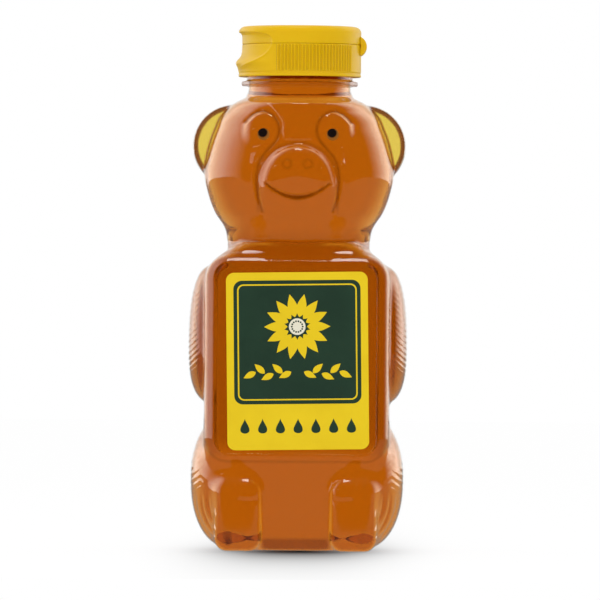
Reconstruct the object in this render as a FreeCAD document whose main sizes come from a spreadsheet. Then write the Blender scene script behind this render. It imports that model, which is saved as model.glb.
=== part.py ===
import FreeCAD, Part
import math
import os

import Sketcher

# A clear squeeze bottle shaped like a sitting bear, full of honey, with a screw-on flip-top cap.
# Millimetres and degrees. +Z is up, the bear faces -Y, and the origin is on the neck's axis, where it
# meets the surface that the bottle stands on. The cap's hinge is at +X and its thumb scoop at -X.

DIMENSIONS = (
    # Walls, fits and cuts
    ("wall", 0.8),
    ("honey_clearance", 0.15),
    ("seam_gap", 0.3),
    ("cap_clearance", 0.3),
    ("seal_ring_clearance", 0.2),
    ("strap_clearance", 0.1),
    ("print_clearance", 0.02),
    ("cut_overrun", 2.0),
    # Torso and the base under it
    ("torso_width", 65.0),
    ("belly_reach", 27.0),
    ("back_reach", 31.0),
    ("torso_height", 108.0),
    ("belly_corner", 7.0),
    ("back_corner", 19.0),
    ("base_dish_width", 40.0),
    ("base_dish_depth", 30.0),
    ("base_dish_rise", 3.0),
    # Label panel, its raised frame and the label
    ("frame_width", 63.2),
    ("frame_height", 72.4),
    ("frame_bottom", 31.3),
    ("frame_corner", 8.0),
    ("frame_rise", 0.7),
    ("frame_edge_radius", 2.0),
    ("panel_width", 56.0),
    ("panel_height", 66.6),
    ("panel_bottom", 34.3),
    ("panel_corner", 5.0),
    ("panel_recess", 1.1),
    ("label_width", 49.5),
    ("label_height", 62.0),
    ("label_drop", 0.8),
    ("label_corner", 2.8),
    ("label_thickness", 0.15),
    # Arms
    ("arm_spread", 29.8),
    ("arm_bulge", 8.8),
    ("arm_depth", 38.0),
    ("arm_length", 50.0),
    ("arm_height", 75.0),
    ("arm_advance", 2.0),
    # Legs and feet
    ("leg_spread", 21.5),
    ("leg_bulge", 16.0),
    ("leg_depth", 53.0),
    ("leg_length", 49.6),
    ("leg_height", 25.0),
    ("leg_advance", 3.0),
    ("foot_gap", 23.2),
    ("foot_width", 18.6),
    ("foot_height", 26.2),
    ("foot_upper_corner", 6.0),
    ("foot_lower_corner", 8.0),
    ("foot_edge_radius", 5.0),
    ("foot_reach", 30.0),
    ("foot_length", 20.0),
    # Head
    ("chin_height", 108.6),
    ("head_height", 51.0),
    ("head_width", 67.0),
    ("head_depth", 55.0),
    ("chin_drop", 4.6),
    # Ears
    ("ear_spread", 23.1),
    ("ear_radius", 14.6),
    ("ear_thickness", 8.0),
    ("ear_height", 142.4),
    ("ear_setback", 2.0),
    ("ear_dish_radius", 16.6),
    ("ear_dish_depth", 3.0),
    # Muzzle, nose bridge and eyes
    ("muzzle_height", 133.0),
    ("muzzle_setback", 15.5),
    ("muzzle_crown_width", 42.0),
    ("muzzle_length", 15.5),
    ("muzzle_rise", 22.0),
    ("muzzle_width", 27.6),
    ("muzzle_top", 143.0),
    ("muzzle_bottom", 112.0),
    ("muzzle_top_corner", 13.0),
    ("muzzle_bottom_corner", 6.0),
    ("bridge_height", 147.0),
    ("bridge_setback", 20.5),
    ("bridge_width", 12.0),
    ("bridge_length", 5.4),
    ("bridge_rise", 11.0),
    ("bridge_lean_angle", 22.0),
    ("eye_spread", 12.5),
    ("eye_height", 147.3),
    ("eye_setback", 21.1),
    ("eye_radius", 6.1),
    ("eye_length", 4.4),
    ("pupil_spread", 12.1),
    ("pupil_height", 146.0),
    ("pupil_radius", 2.1),
    ("pupil_thickness", 0.12),
    # Neck and its finish
    ("neck_radius", 18.1),
    ("neck_length", 3.8),
    ("neck_root", 6.0),
    ("ring_radius", 20.5),
    ("ring_thickness", 1.6),
    ("bead_radius", 18.9),
    ("bead_height", 2.8),
    ("finish_radius", 17.6),
    ("finish_height", 9.75),
    ("bore_radius", 15.9),
    ("headspace", 7.0),
    # Induction seal with its pull tab, and the cap's liner
    ("seal_radius", 17.5),
    ("seal_thickness", 0.3),
    ("tab_radius", 12.6),
    ("tab_thickness", 0.2),
    ("liner_outer_radius", 18.4),
    ("liner_inner_radius", 14.0),
    ("liner_thickness", 1.2),
    # Cap base
    ("cap_radius", 21.6),
    ("cap_lift", 1.6),
    ("cap_bevel", 0.6),
    ("deck_thickness", 1.6),
    ("snap_width", 0.9),
    ("snap_height", 1.0),
    ("spout_radius", 5.2),
    ("spout_tip_radius", 4.5),
    ("spout_height", 3.0),
    ("orifice_radius", 3.2),
    ("rib_width", 0.6),
    ("rib_rise", 0.25),
    ("rib_band_height", 9.1),
    ("rib_band_drop", 0.3),
    ("rib_start_angle", 34.0),
    ("rib_span_angle", 76.0),
    ("rib_count", 24),
    # Flip lid
    ("lid_height", 6.35),
    ("lid_wall", 1.9),
    ("lid_roof", 1.5),
    ("lid_edge_radius", 2.2),
    ("seal_ring_width", 1.0),
    ("seal_ring_overlap", 1.8),
    # Thumb scoop, cut through the lid's skirt and the base
    ("scoop_depth", 1.0),
    ("scoop_width", 44.4),
    ("scoop_reach", 20.0),
    ("scoop_rise", 4.4),
    ("scoop_fall", 8.0),
    # Living hinge strap
    ("strap_height", 6.6),
    ("strap_bulge", 2.0),
    ("strap_thickness", 1.9),
    ("strap_width", 9.0),
)

doc = FreeCAD.newDocument("honey_bear_bottle")
sheet = doc.addObject("Spreadsheet::Sheet", "sizes")
for row, (alias, value) in enumerate(DIMENSIONS, start=1):
    sheet.set(f"A{row}", alias)
    sheet.set(f"B{row}", str(value))
    sheet.setAlias(f"B{row}", alias)
doc.recompute()

# Heights that the neck, seal, liner and cap share, worked out from the driving dimensions
HEAD_TOP = "(sizes.chin_height + sizes.head_height)"
RING_BOTTOM = f"({HEAD_TOP} + sizes.neck_length)"
RING_TOP = f"({RING_BOTTOM} + sizes.ring_thickness)"
LIP = f"({RING_TOP} + sizes.finish_height)"
SEAL_TOP = f"({LIP} + sizes.seal_thickness)"
DECK_BOTTOM = f"({SEAL_TOP} + sizes.liner_thickness)"
DECK_TOP = f"({DECK_BOTTOM} + sizes.deck_thickness)"
CAP_BOTTOM = f"({RING_TOP} + sizes.cap_lift)"
LID_BOTTOM = f"({DECK_TOP} + sizes.seam_gap)"
LID_TOP = f"({LID_BOTTOM} + sizes.lid_height)"
SEAM = f"({DECK_TOP} + sizes.seam_gap / 2)"
SPOUT_TOP = f"({DECK_TOP} + sizes.spout_height)"

# Each bear form is made three times: the outside, the hollow and the honey in it
NO_INSET = "0"
WALL_INSET = "sizes.wall"
HONEY_INSET = "(sizes.wall + sizes.honey_clearance)"

# Torso sections from base to shoulders, as shares of its height, width, belly reach, back reach and
# belly corner, which is rounder behind the legs
TORSO_SECTION_SHARES = (
    (0.000, 0.690, 0.790, 0.704, 2.00),
    (0.019, 0.830, 0.885, 0.837, 2.30),
    (0.056, 0.940, 0.935, 0.933, 2.40),
    (0.130, 0.994, 0.957, 0.989, 2.40),
    (0.280, 1.000, 0.992, 1.000, 1.60),
    (0.510, 1.000, 1.000, 1.000, 1.00),
    (0.750, 1.000, 1.000, 1.000, 1.00),
    (0.860, 0.994, 1.000, 0.978, 1.00),
    (0.925, 0.954, 0.985, 0.911, 0.98),
    (0.967, 0.868, 0.933, 0.815, 0.93),
    (1.000, 0.708, 0.796, 0.667, 0.80),
)

# Head sections from chin to crown, as shares of the head's height, width and depth
HEAD_SECTION_SHARES = (
    (0.00, 0.752, 0.715),
    (0.09, 0.780, 0.790),
    (0.20, 0.885, 0.900),
    (0.34, 0.965, 0.970),
    (0.46, 1.000, 1.000),
    (0.60, 0.970, 0.980),
    (0.77, 0.890, 0.925),
    (0.89, 0.795, 0.870),
    (0.965, 0.665, 0.785),
    (1.00, 0.555, 0.650),
)


QUARTER_TURN = 90
FULL_TURN = 360

# Edges whose ends differ in level by less than this share of a solid's size count as level
LEVEL_TOLERANCE_SHARE = 0.001


# General helpers

def number(expression):
    """Current value of an expression on the sheet."""
    return float(sheet.evalExpression(expression))


def bind(item, **expressions):
    """Bind properties of an object to expressions on the sheet."""
    for name, expression in expressions.items():
        item.setExpression(name, expression)


def place(item, x="0", y="0", z="0"):
    """Bind an object's position."""
    item.setExpression("Placement.Base.x", x)
    item.setExpression("Placement.Base.y", y)
    item.setExpression("Placement.Base.z", z)


def origin_feature(body, role):
    """One of a body's own origin planes or axes."""
    return next(item for item in body.Origin.OriginFeatures if item.Role == role)


def ellipsoid(name, centre, radii):
    """Ellipsoid with its radii along X, Y and Z."""
    solid = doc.addObject("Part::Ellipsoid", name)
    bind(solid, Radius1=radii[2], Radius2=radii[0], Radius3=radii[1])
    place(solid, *centre)
    return solid


def cylinder(name, radius, bottom, height):
    """Upright cylinder on the neck's axis."""
    solid = doc.addObject("Part::Cylinder", name)
    bind(solid, Radius=radius, Height=height)
    place(solid, z=bottom)
    return solid


def lying_cylinder(name, radius, length, centre):
    """Cylinder along Y, centred on a point."""
    solid = doc.addObject("Part::Cylinder", name)
    bind(solid, Radius=radius, Height=length)
    solid.Placement.Rotation = FreeCAD.Rotation(FreeCAD.Vector(-1, 0, 0), QUARTER_TURN)
    place(solid, centre[0], f"{centre[1]} - {length} / 2", centre[2])
    return solid


def fuse(name, solids):
    union = doc.addObject("Part::MultiFuse", name)
    union.Shapes = solids
    return union


def cut(name, base, tool):
    difference = doc.addObject("Part::Cut", name)
    difference.Base = base
    difference.Tool = tool
    return difference


def common(name, first, second):
    overlap = doc.addObject("Part::Common", name)
    overlap.Base = first
    overlap.Tool = second
    return overlap


def loft(name, sections):
    """Smooth closed solid through a row of outlines."""
    solid = doc.addObject("Part::Loft", name)
    solid.Sections = sections
    solid.Solid = True
    return solid


def attach(sketch, body, role):
    sketch.AttachmentSupport = [(origin_feature(body, role), "")]
    sketch.MapMode = "FlatFace"


def constrain(sketch, name, expression, kind, *elements):
    """Add one dimension to a sketch and bind it to the sheet."""
    index = sketch.addConstraint(Sketcher.Constraint(kind, *elements, number(expression)))
    sketch.renameConstraint(index, name)
    sketch.setExpression(f"Constraints.{name}", expression)


def rounded_outline(sketch, width, above, below, upper_corner, lower_corner):
    """Rectangle that reaches above and below the sketch's origin, with two corner radii."""
    side = number(width) / 2
    top = number(above)
    bottom = -number(below)
    upper = number(upper_corner)
    lower = number(lower_corner)
    normal = FreeCAD.Vector(0, 0, 1)

    def line(start, end):
        sketch.addGeometry(Part.LineSegment(FreeCAD.Vector(*start, 0), FreeCAD.Vector(*end, 0)), False)

    def corner(x, y, radius, first_angle):
        circle = Part.Circle(FreeCAD.Vector(x, y, 0), normal, radius)
        first = math.radians(first_angle)
        last = math.radians(first_angle + QUARTER_TURN)
        sketch.addGeometry(Part.ArcOfCircle(circle, first, last), False)

    line((lower - side, bottom), (side - lower, bottom))
    corner(side - lower, bottom + lower, lower, -QUARTER_TURN)
    line((side, bottom + lower), (side, top - upper))
    corner(side - upper, top - upper, upper, 0)
    line((side - upper, top), (upper - side, top))
    corner(upper - side, top - upper, upper, QUARTER_TURN)
    line((-side, top - upper), (-side, bottom + lower))
    corner(lower - side, bottom + lower, lower, 2 * QUARTER_TURN)
    for index in range(8):
        sketch.addConstraint(Sketcher.Constraint("Tangent", index, 2, (index + 1) % 8, 1))
    for index in (0, 4):
        sketch.addConstraint(Sketcher.Constraint("Horizontal", index))
    for index in (2, 6):
        sketch.addConstraint(Sketcher.Constraint("Vertical", index))
    sketch.addConstraint(Sketcher.Constraint("Equal", 1, 7))
    sketch.addConstraint(Sketcher.Constraint("Equal", 3, 5))
    constrain(sketch, "lower_corner", lower_corner, "Radius", 1)
    constrain(sketch, "upper_corner", upper_corner, "Radius", 3)
    constrain(sketch, "right_side", f"{width} / 2", "DistanceX", -1, 1, 2, 1)
    constrain(sketch, "left_side", f"{width} / 2", "DistanceX", 6, 1, -1, 1)
    constrain(sketch, "top_side", above, "DistanceY", -1, 1, 4, 1)
    constrain(sketch, "bottom_side", below, "DistanceY", 0, 1, -1, 1)


def round_edges(body, name, feature, edge_names, radius):
    rounding = body.newObject("PartDesign::Fillet", name)
    rounding.Base = (feature, edge_names)
    bind(rounding, Radius=radius)
    body.Tip = rounding


def front_edges(solid):
    """Names of the edges that lie in a solid's front face."""
    box = solid.BoundBox
    tolerance = box.YLength * LEVEL_TOLERANCE_SHARE
    return [
        f"Edge{index}"
        for index, edge in enumerate(solid.Edges, start=1)
        if edge.BoundBox.YMax - box.YMin < tolerance
    ]


def top_edges(solid):
    """Names of the edges that lie in a solid's top face."""
    box = solid.BoundBox
    tolerance = box.ZLength * LEVEL_TOLERANCE_SHARE
    return [
        f"Edge{index}"
        for index, edge in enumerate(solid.Edges, start=1)
        if box.ZMax - edge.BoundBox.ZMin < tolerance
    ]


def rounded_block(name, centre, size, corners, rim=None):
    """Rounded outline seen from the front, padded through its depth, with its front rim rounded.

    size is width, depth and height; corners are the upper and lower radii of the outline.
    """
    width, depth, height = size
    body = doc.addObject("PartDesign::Body", name)
    outline = body.newObject("Sketcher::SketchObject", f"{name}_outline")
    attach(outline, body, "XZ_Plane")
    rounded_outline(outline, width, f"{height} / 2", f"{height} / 2", *corners)
    feature = body.newObject("PartDesign::Pad", f"{name}_pad")
    feature.Profile = outline
    feature.SideType = "Symmetric"
    bind(feature, Length=depth)
    body.Tip = feature
    if rim:
        doc.recompute()
        round_edges(body, f"{name}_rim", feature, front_edges(feature.Shape), rim)
    place(body, *centre)
    return body


def profile(body, name, corners):
    """Closed outline of straight lines in the XZ plane, each corner bound to the sheet."""
    sketch = body.newObject("Sketcher::SketchObject", name)
    attach(sketch, body, "XZ_Plane")
    points = [FreeCAD.Vector(number(x), number(z), 0) for x, z in corners]
    for start, end in zip(points, points[1:] + points[:1]):
        sketch.addGeometry(Part.LineSegment(start, end), False)
    count = len(points)
    for index in range(count):
        sketch.addConstraint(Sketcher.Constraint("Coincident", index, 2, (index + 1) % count, 1))
    for index, (x, z) in enumerate(corners):
        if x == "0":
            sketch.addConstraint(Sketcher.Constraint("PointOnObject", index, 1, -2))
        else:
            constrain(sketch, f"across_{index}", x, "DistanceX", -1, 1, index, 1)
        constrain(sketch, f"up_{index}", z, "DistanceY", -1, 1, index, 1)
    return sketch


def turned_body(name, corners):
    """Body made by turning a profile round the neck's axis."""
    body = doc.addObject("PartDesign::Body", name)
    sketch = profile(body, f"{name}_profile", corners)
    turning = body.newObject("PartDesign::Revolution", f"{name}_turning")
    turning.Profile = sketch
    turning.ReferenceAxis = (sketch, ["V_Axis"])
    turning.Angle = FULL_TURN
    body.Tip = turning
    return body


# The bear's form, smaller all round by an inset

def torso(tag, inset):
    """Smooth loft through level sections, flat at the belly and round at the back."""
    sections = []
    for index, shares in enumerate(TORSO_SECTION_SHARES):
        height_share, width_share, belly_share, back_share, corner_share = shares
        section = doc.addObject("Sketcher::SketchObject", f"torso_section_{tag}_{index}")
        rounded_outline(
            section,
            f"(sizes.torso_width * {width_share} - 2 * {inset})",
            f"(sizes.back_reach * {back_share} - {inset})",
            f"(sizes.belly_reach * {belly_share} - {inset})",
            f"(sizes.back_corner * {back_share} - {inset})",
            f"(sizes.belly_corner * {corner_share} - {inset})",
        )
        place(section, z=f"{inset} + (sizes.torso_height - 2 * {inset}) * {height_share}")
        sections.append(section)
    return loft(f"torso_{tag}", sections)


def label_frame(tag, inset):
    """Raised frame round the label panel, sunk halfway into the torso."""
    depth = f"(sizes.belly_reach + sizes.frame_rise - {inset})"
    return rounded_block(
        f"label_frame_{tag}",
        ("0", f"-{depth} / 2", "sizes.frame_bottom + sizes.frame_height / 2"),
        (f"(sizes.frame_width - 2 * {inset})", depth, f"(sizes.frame_height - 2 * {inset})"),
        (f"(sizes.frame_corner - {inset})", f"(sizes.frame_corner - {inset})"),
        f"sizes.frame_edge_radius - {inset}",
    )


def panel_recess(tag, inset):
    """Block that is cut from the front to leave the label panel's floor."""
    depth = f"(sizes.panel_recess + sizes.cut_overrun + {inset})"
    front = "(sizes.belly_reach + sizes.frame_rise)"
    return rounded_block(
        f"panel_recess_{tag}",
        (
            "0",
            f"-{front} + sizes.panel_recess + {inset} - {depth} / 2",
            "sizes.panel_bottom + sizes.panel_height / 2",
        ),
        (f"(sizes.panel_width + 2 * {inset})", depth, f"(sizes.panel_height + 2 * {inset})"),
        (f"(sizes.panel_corner + {inset})", f"(sizes.panel_corner + {inset})"),
    )


def base_dish(tag, inset):
    """Shallow hollow under the base, so that the bottle stands on a rim."""
    return ellipsoid(
        f"base_dish_{tag}",
        ("0", "0", "0"),
        (
            f"sizes.base_dish_width / 2 + {inset}",
            f"sizes.base_dish_depth / 2 + {inset}",
            f"sizes.base_dish_rise + {inset}",
        ),
    )


def head(tag, inset):
    """Smooth loft through ellipses, with a straight root that reaches down into the torso."""
    sections = []
    levels = [(f"sizes.chin_height - sizes.chin_drop + {inset}", *HEAD_SECTION_SHARES[0][1:])]
    for height_share, width_share, depth_share in HEAD_SECTION_SHARES:
        levels.append((f"sizes.chin_height + sizes.head_height * {height_share}", width_share, depth_share))
    for index, (level, width_share, depth_share) in enumerate(levels):
        section = doc.addObject("Part::Ellipse", f"head_section_{tag}_{index}")
        bind(
            section,
            MajorRadius=f"sizes.head_width / 2 * {width_share} - {inset}",
            MinorRadius=f"sizes.head_depth / 2 * {depth_share} - {inset}",
        )
        place(section, z=level)
        sections.append(section)
    return loft(f"head_{tag}", sections)


def ear(tag, inset, side):
    """Round flat ear with a dished front."""
    name = f"ear_{tag}_{side + 1}"
    centre_x = f"{side} * sizes.ear_spread"
    disc = ellipsoid(
        f"{name}_disc",
        (centre_x, "sizes.ear_setback", "sizes.ear_height"),
        (
            f"sizes.ear_radius - {inset}",
            f"sizes.ear_thickness / 2 - {inset}",
            f"sizes.ear_radius - {inset}",
        ),
    )
    dish = ellipsoid(
        f"{name}_dish",
        (centre_x, "sizes.ear_setback - sizes.ear_thickness / 2", "sizes.ear_height"),
        (
            f"sizes.ear_dish_radius + {inset}",
            f"sizes.ear_dish_depth + {inset}",
            f"sizes.ear_dish_radius + {inset}",
        ),
    )
    return cut(name, disc, dish)


def face(tag, inset):
    """Muzzle, nose bridge and the domes round the eyes."""
    crown = ellipsoid(
        f"muzzle_crown_{tag}",
        ("0", "-sizes.muzzle_setback", "sizes.muzzle_height"),
        (
            f"sizes.muzzle_crown_width / 2 - {inset}",
            f"sizes.muzzle_length - {inset}",
            f"sizes.muzzle_rise - {inset}",
        ),
    )
    arch = rounded_block(
        f"muzzle_arch_{tag}",
        ("0", "-sizes.muzzle_setback", "(sizes.muzzle_top + sizes.muzzle_bottom) / 2"),
        (
            f"(sizes.muzzle_width - 2 * {inset})",
            "(2 * sizes.muzzle_length + 2 * sizes.cut_overrun)",
            f"(sizes.muzzle_top - sizes.muzzle_bottom - 2 * {inset})",
        ),
        (f"(sizes.muzzle_top_corner - {inset})", f"(sizes.muzzle_bottom_corner - {inset})"),
    )
    muzzle = common(f"muzzle_{tag}", crown, arch)
    bridge = ellipsoid(
        f"nose_bridge_{tag}",
        ("0", "-sizes.bridge_setback", "sizes.bridge_height"),
        (
            f"sizes.bridge_width / 2 - {inset}",
            f"sizes.bridge_length - {inset}",
            f"sizes.bridge_rise - {inset}",
        ),
    )
    lean = number("sizes.bridge_lean_angle")
    bridge.Placement.Rotation = FreeCAD.Rotation(FreeCAD.Vector(-1, 0, 0), lean)
    bridge.setExpression("Placement.Rotation.Angle", "sizes.bridge_lean_angle")
    forms = [muzzle, bridge]
    for side in (-1, 1):
        forms.append(eye_dome(f"eye_dome_{tag}_{side + 1}", side, f"- {inset}"))
    return forms


def eye_dome(name, side, growth):
    """Dome of one eye, larger or smaller all round by a signed growth."""
    return ellipsoid(
        name,
        (f"{side} * sizes.eye_spread", "-sizes.eye_setback", "sizes.eye_height"),
        (f"sizes.eye_radius {growth}", f"sizes.eye_length {growth}", f"sizes.eye_radius {growth}"),
    )


def limbs(tag, inset):
    """Arms down the sides, legs at the hips and feet with their soles to the front."""
    forms = []
    for side in (-1, 1):
        forms.append(ellipsoid(
            f"arm_{tag}_{side + 1}",
            (f"{side} * sizes.arm_spread", "-sizes.arm_advance", "sizes.arm_height"),
            (
                f"sizes.arm_bulge - {inset}",
                f"sizes.arm_depth / 2 - {inset}",
                f"sizes.arm_length / 2 - {inset}",
            ),
        ))
        forms.append(ellipsoid(
            f"leg_{tag}_{side + 1}",
            (f"{side} * sizes.leg_spread", "-sizes.leg_advance", "sizes.leg_height"),
            (
                f"sizes.leg_bulge - {inset}",
                f"sizes.leg_depth / 2 - {inset}",
                f"sizes.leg_length / 2 - {inset}",
            ),
        ))
        forms.append(rounded_block(
            f"foot_{tag}_{side + 1}",
            (
                f"{side} * (sizes.foot_gap + sizes.foot_width) / 2",
                "sizes.foot_length / 2 - sizes.foot_reach",
                "sizes.foot_height / 2",
            ),
            (
                f"(sizes.foot_width - 2 * {inset})",
                f"(sizes.foot_length - 2 * {inset})",
                f"(sizes.foot_height - 2 * {inset})",
            ),
            (f"(sizes.foot_upper_corner - {inset})", f"(sizes.foot_lower_corner - {inset})"),
            f"sizes.foot_edge_radius - {inset}",
        ))
    return forms


def bear(tag, inset, neck_forms):
    """The whole bear as one solid, with the base dish and the label panel cut from it."""
    forms = [torso(tag, inset), label_frame(tag, inset), head(tag, inset)]
    forms += [ear(tag, inset, side) for side in (-1, 1)]
    forms += face(tag, inset)
    forms += limbs(tag, inset)
    whole = fuse(f"bear_{tag}", forms + neck_forms)
    whole = cut(f"bear_{tag}_on_rim", whole, base_dish(tag, inset))
    return cut(f"bear_{tag}_panelled", whole, panel_recess(tag, inset))


# Bottle and honey

def neck_column(name, radius, top):
    """Straight column from inside the head up to a level."""
    bottom = f"({HEAD_TOP} - sizes.neck_root)"
    return cylinder(name, radius, bottom, f"{top} - {bottom}")


outside = bear("outside", NO_INSET, [
    neck_column("neck", "sizes.neck_radius", RING_BOTTOM),
    cylinder("support_ring", "sizes.ring_radius", RING_BOTTOM, "sizes.ring_thickness"),
    cylinder("thread_bead", "sizes.bead_radius", RING_TOP, "sizes.bead_height"),
    neck_column("finish", "sizes.finish_radius", LIP),
])
hollow = bear("hollow", WALL_INSET, [
    neck_column("neck_hollow", f"sizes.neck_radius - {WALL_INSET}", RING_BOTTOM),
    neck_column("bore", "sizes.bore_radius", f"({LIP} + sizes.cut_overrun)"),
])
bottle_shell = cut("bottle_shell", outside, hollow)

honey_fill = bear("honey", HONEY_INSET, [
    neck_column(
        "honey_neck",
        f"sizes.neck_radius - {HONEY_INSET}",
        f"({RING_BOTTOM} - sizes.honey_clearance)",
    ),
    neck_column("honey_bore", "sizes.bore_radius - sizes.honey_clearance", f"({LIP} - sizes.headspace)"),
])
honey_fill.Label = "honey_fill"


# Label and the printed eyes

front_label = rounded_block(
    "front_label",
    (
        "0",
        "-(sizes.belly_reach + sizes.frame_rise - sizes.panel_recess + sizes.label_thickness / 2)",
        "sizes.panel_bottom + sizes.panel_height / 2 - sizes.label_drop",
    ),
    ("sizes.label_width", "sizes.label_thickness", "sizes.label_height"),
    ("sizes.label_corner", "sizes.label_corner"),
)


def eye_print(name, side):
    """Thin round print on the front of one eye dome."""
    outer = eye_dome(f"{name}_outer", side, "+ sizes.print_clearance + sizes.pupil_thickness")
    inner = eye_dome(f"{name}_inner", side, "+ sizes.print_clearance")
    reach = "(2 * sizes.eye_length + 2 * sizes.cut_overrun)"
    disc = lying_cylinder(
        f"{name}_disc",
        "sizes.pupil_radius",
        reach,
        (f"{side} * sizes.pupil_spread", f"-sizes.eye_setback - {reach} / 2", "sizes.pupil_height"),
    )
    return common(name, cut(f"{name}_skin", outer, inner), disc)


left_eye_print = eye_print("left_eye_print", -1)
right_eye_print = eye_print("right_eye_print", 1)


# Seal on the bottle's lip, with the half-moon tab that pulls it off

inner_seal = cylinder("inner_seal", "sizes.seal_radius", LIP, "sizes.seal_thickness")
tab_disc = cylinder("tab_disc", "sizes.tab_radius", SEAL_TOP, "sizes.tab_thickness")
tab_half = doc.addObject("Part::Box", "tab_half")
bind(
    tab_half,
    Length="2 * sizes.tab_radius",
    Width="sizes.tab_radius",
    Height="sizes.tab_thickness",
)
place(tab_half, "-sizes.tab_radius", "-sizes.tab_radius", SEAL_TOP)
seal_pull_tab = common("seal_pull_tab", tab_disc, tab_half)


# Liner ring under the cap's deck

cap_liner = turned_body("cap_liner", (
    ("sizes.liner_inner_radius", SEAL_TOP),
    ("sizes.liner_outer_radius", SEAL_TOP),
    ("sizes.liner_outer_radius", DECK_BOTTOM),
    ("sizes.liner_inner_radius", DECK_BOTTOM),
))


# Thumb scoop, a shallow layer of the cap's side inside an oval

def scoop(name):
    height = f"{LID_TOP} - {CAP_BOTTOM}"
    layer = cut(
        f"{name}_layer",
        cylinder(f"{name}_outer", "sizes.cap_radius + sizes.cut_overrun", CAP_BOTTOM, height),
        cylinder(f"{name}_inner", "sizes.cap_radius - sizes.scoop_depth", CAP_BOTTOM, height),
    )
    oval = ellipsoid(
        f"{name}_oval",
        ("-sizes.cap_radius", "0", f"{SEAM} + (sizes.scoop_rise - sizes.scoop_fall) / 2"),
        ("sizes.scoop_reach", "sizes.scoop_width / 2", "(sizes.scoop_rise + sizes.scoop_fall) / 2"),
    )
    return common(name, layer, oval)


# Cap base: skirt, deck, snap ring for the lid and the spout

LID_BORE = "(sizes.cap_radius - sizes.lid_wall)"
SNAP_OUTER = f"({LID_BORE} - sizes.cap_clearance)"
SNAP_INNER = f"({SNAP_OUTER} - sizes.snap_width)"
SNAP_TOP = f"({DECK_TOP} + sizes.snap_height)"
SKIRT_BORE = "(sizes.bead_radius + sizes.cap_clearance)"

cap_turned = turned_body("cap_turned", (
    (SKIRT_BORE, CAP_BOTTOM),
    ("sizes.cap_radius - sizes.cap_bevel", CAP_BOTTOM),
    ("sizes.cap_radius", f"{CAP_BOTTOM} + sizes.cap_bevel"),
    ("sizes.cap_radius", DECK_TOP),
    (SNAP_OUTER, DECK_TOP),
    (SNAP_OUTER, SNAP_TOP),
    (SNAP_INNER, SNAP_TOP),
    (SNAP_INNER, DECK_TOP),
    ("sizes.spout_radius", DECK_TOP),
    ("sizes.spout_tip_radius", SPOUT_TOP),
    ("sizes.orifice_radius", SPOUT_TOP),
    ("sizes.orifice_radius", DECK_BOTTOM),
    (SKIRT_BORE, DECK_BOTTOM),
))


def grip_ribs(body, name, start_angle):
    """A band of upright ribs on the skirt, from one angle round towards +angle."""
    sketch = body.newObject("Sketcher::SketchObject", f"{name}_outline")
    attach(sketch, body, "XY_Plane")
    turn = FreeCAD.Rotation(FreeCAD.Vector(0, 0, 1), number(start_angle))
    sketch.AttachmentOffset = FreeCAD.Placement(FreeCAD.Vector(0, 0, 0), turn)
    bottom = f"{DECK_TOP} - sizes.rib_band_drop - sizes.rib_band_height"
    sketch.setExpression("AttachmentOffset.Base.z", bottom)
    sketch.setExpression("AttachmentOffset.Rotation.Angle", start_angle)
    inner = number("sizes.cap_radius - sizes.rib_rise")
    outer = number("sizes.cap_radius + sizes.rib_rise")
    side = number("sizes.rib_width / 2")
    corners = [(inner, -side), (outer, -side), (outer, side), (inner, side)]
    points = [FreeCAD.Vector(x, y, 0) for x, y in corners]
    for start, end in zip(points, points[1:] + points[:1]):
        sketch.addGeometry(Part.LineSegment(start, end), False)
    for index in range(4):
        sketch.addConstraint(Sketcher.Constraint("Coincident", index, 2, (index + 1) % 4, 1))
    for index in (0, 2):
        sketch.addConstraint(Sketcher.Constraint("Horizontal", index))
    for index in (1, 3):
        sketch.addConstraint(Sketcher.Constraint("Vertical", index))
    constrain(sketch, "inner", "sizes.cap_radius - sizes.rib_rise", "DistanceX", -1, 1, 0, 1)
    constrain(sketch, "outer", "sizes.cap_radius + sizes.rib_rise", "DistanceX", -1, 1, 1, 1)
    constrain(sketch, "right", "sizes.rib_width / 2", "DistanceY", 0, 1, -1, 1)
    constrain(sketch, "left", "sizes.rib_width / 2", "DistanceY", -1, 1, 2, 1)
    rib = body.newObject("PartDesign::Pad", f"{name}_rib")
    rib.Profile = sketch
    bind(rib, Length="sizes.rib_band_height")
    doc.recompute()
    pattern = body.newObject("PartDesign::PolarPattern", name)
    pattern.Originals = [rib]
    pattern.Axis = (origin_feature(body, "Z_Axis"), [""])
    bind(pattern, Angle="sizes.rib_span_angle", Occurrences="sizes.rib_count")
    body.Tip = pattern


doc.recompute()
grip_ribs(cap_turned, "back_ribs", "sizes.rib_start_angle")
grip_ribs(cap_turned, "front_ribs", "-sizes.rib_start_angle - sizes.rib_span_angle")
cap_base = cut("cap_base", cap_turned, scoop("base_scoop"))


# Flip lid with the ring that seals round the spout

LID_CEILING = f"({LID_TOP} - sizes.lid_roof)"
SEAL_RING_INNER = "(sizes.spout_radius + sizes.seal_ring_clearance)"
SEAL_RING_OUTER = f"({SEAL_RING_INNER} + sizes.seal_ring_width)"
SEAL_RING_BOTTOM = f"({SPOUT_TOP} - sizes.seal_ring_overlap)"

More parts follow.
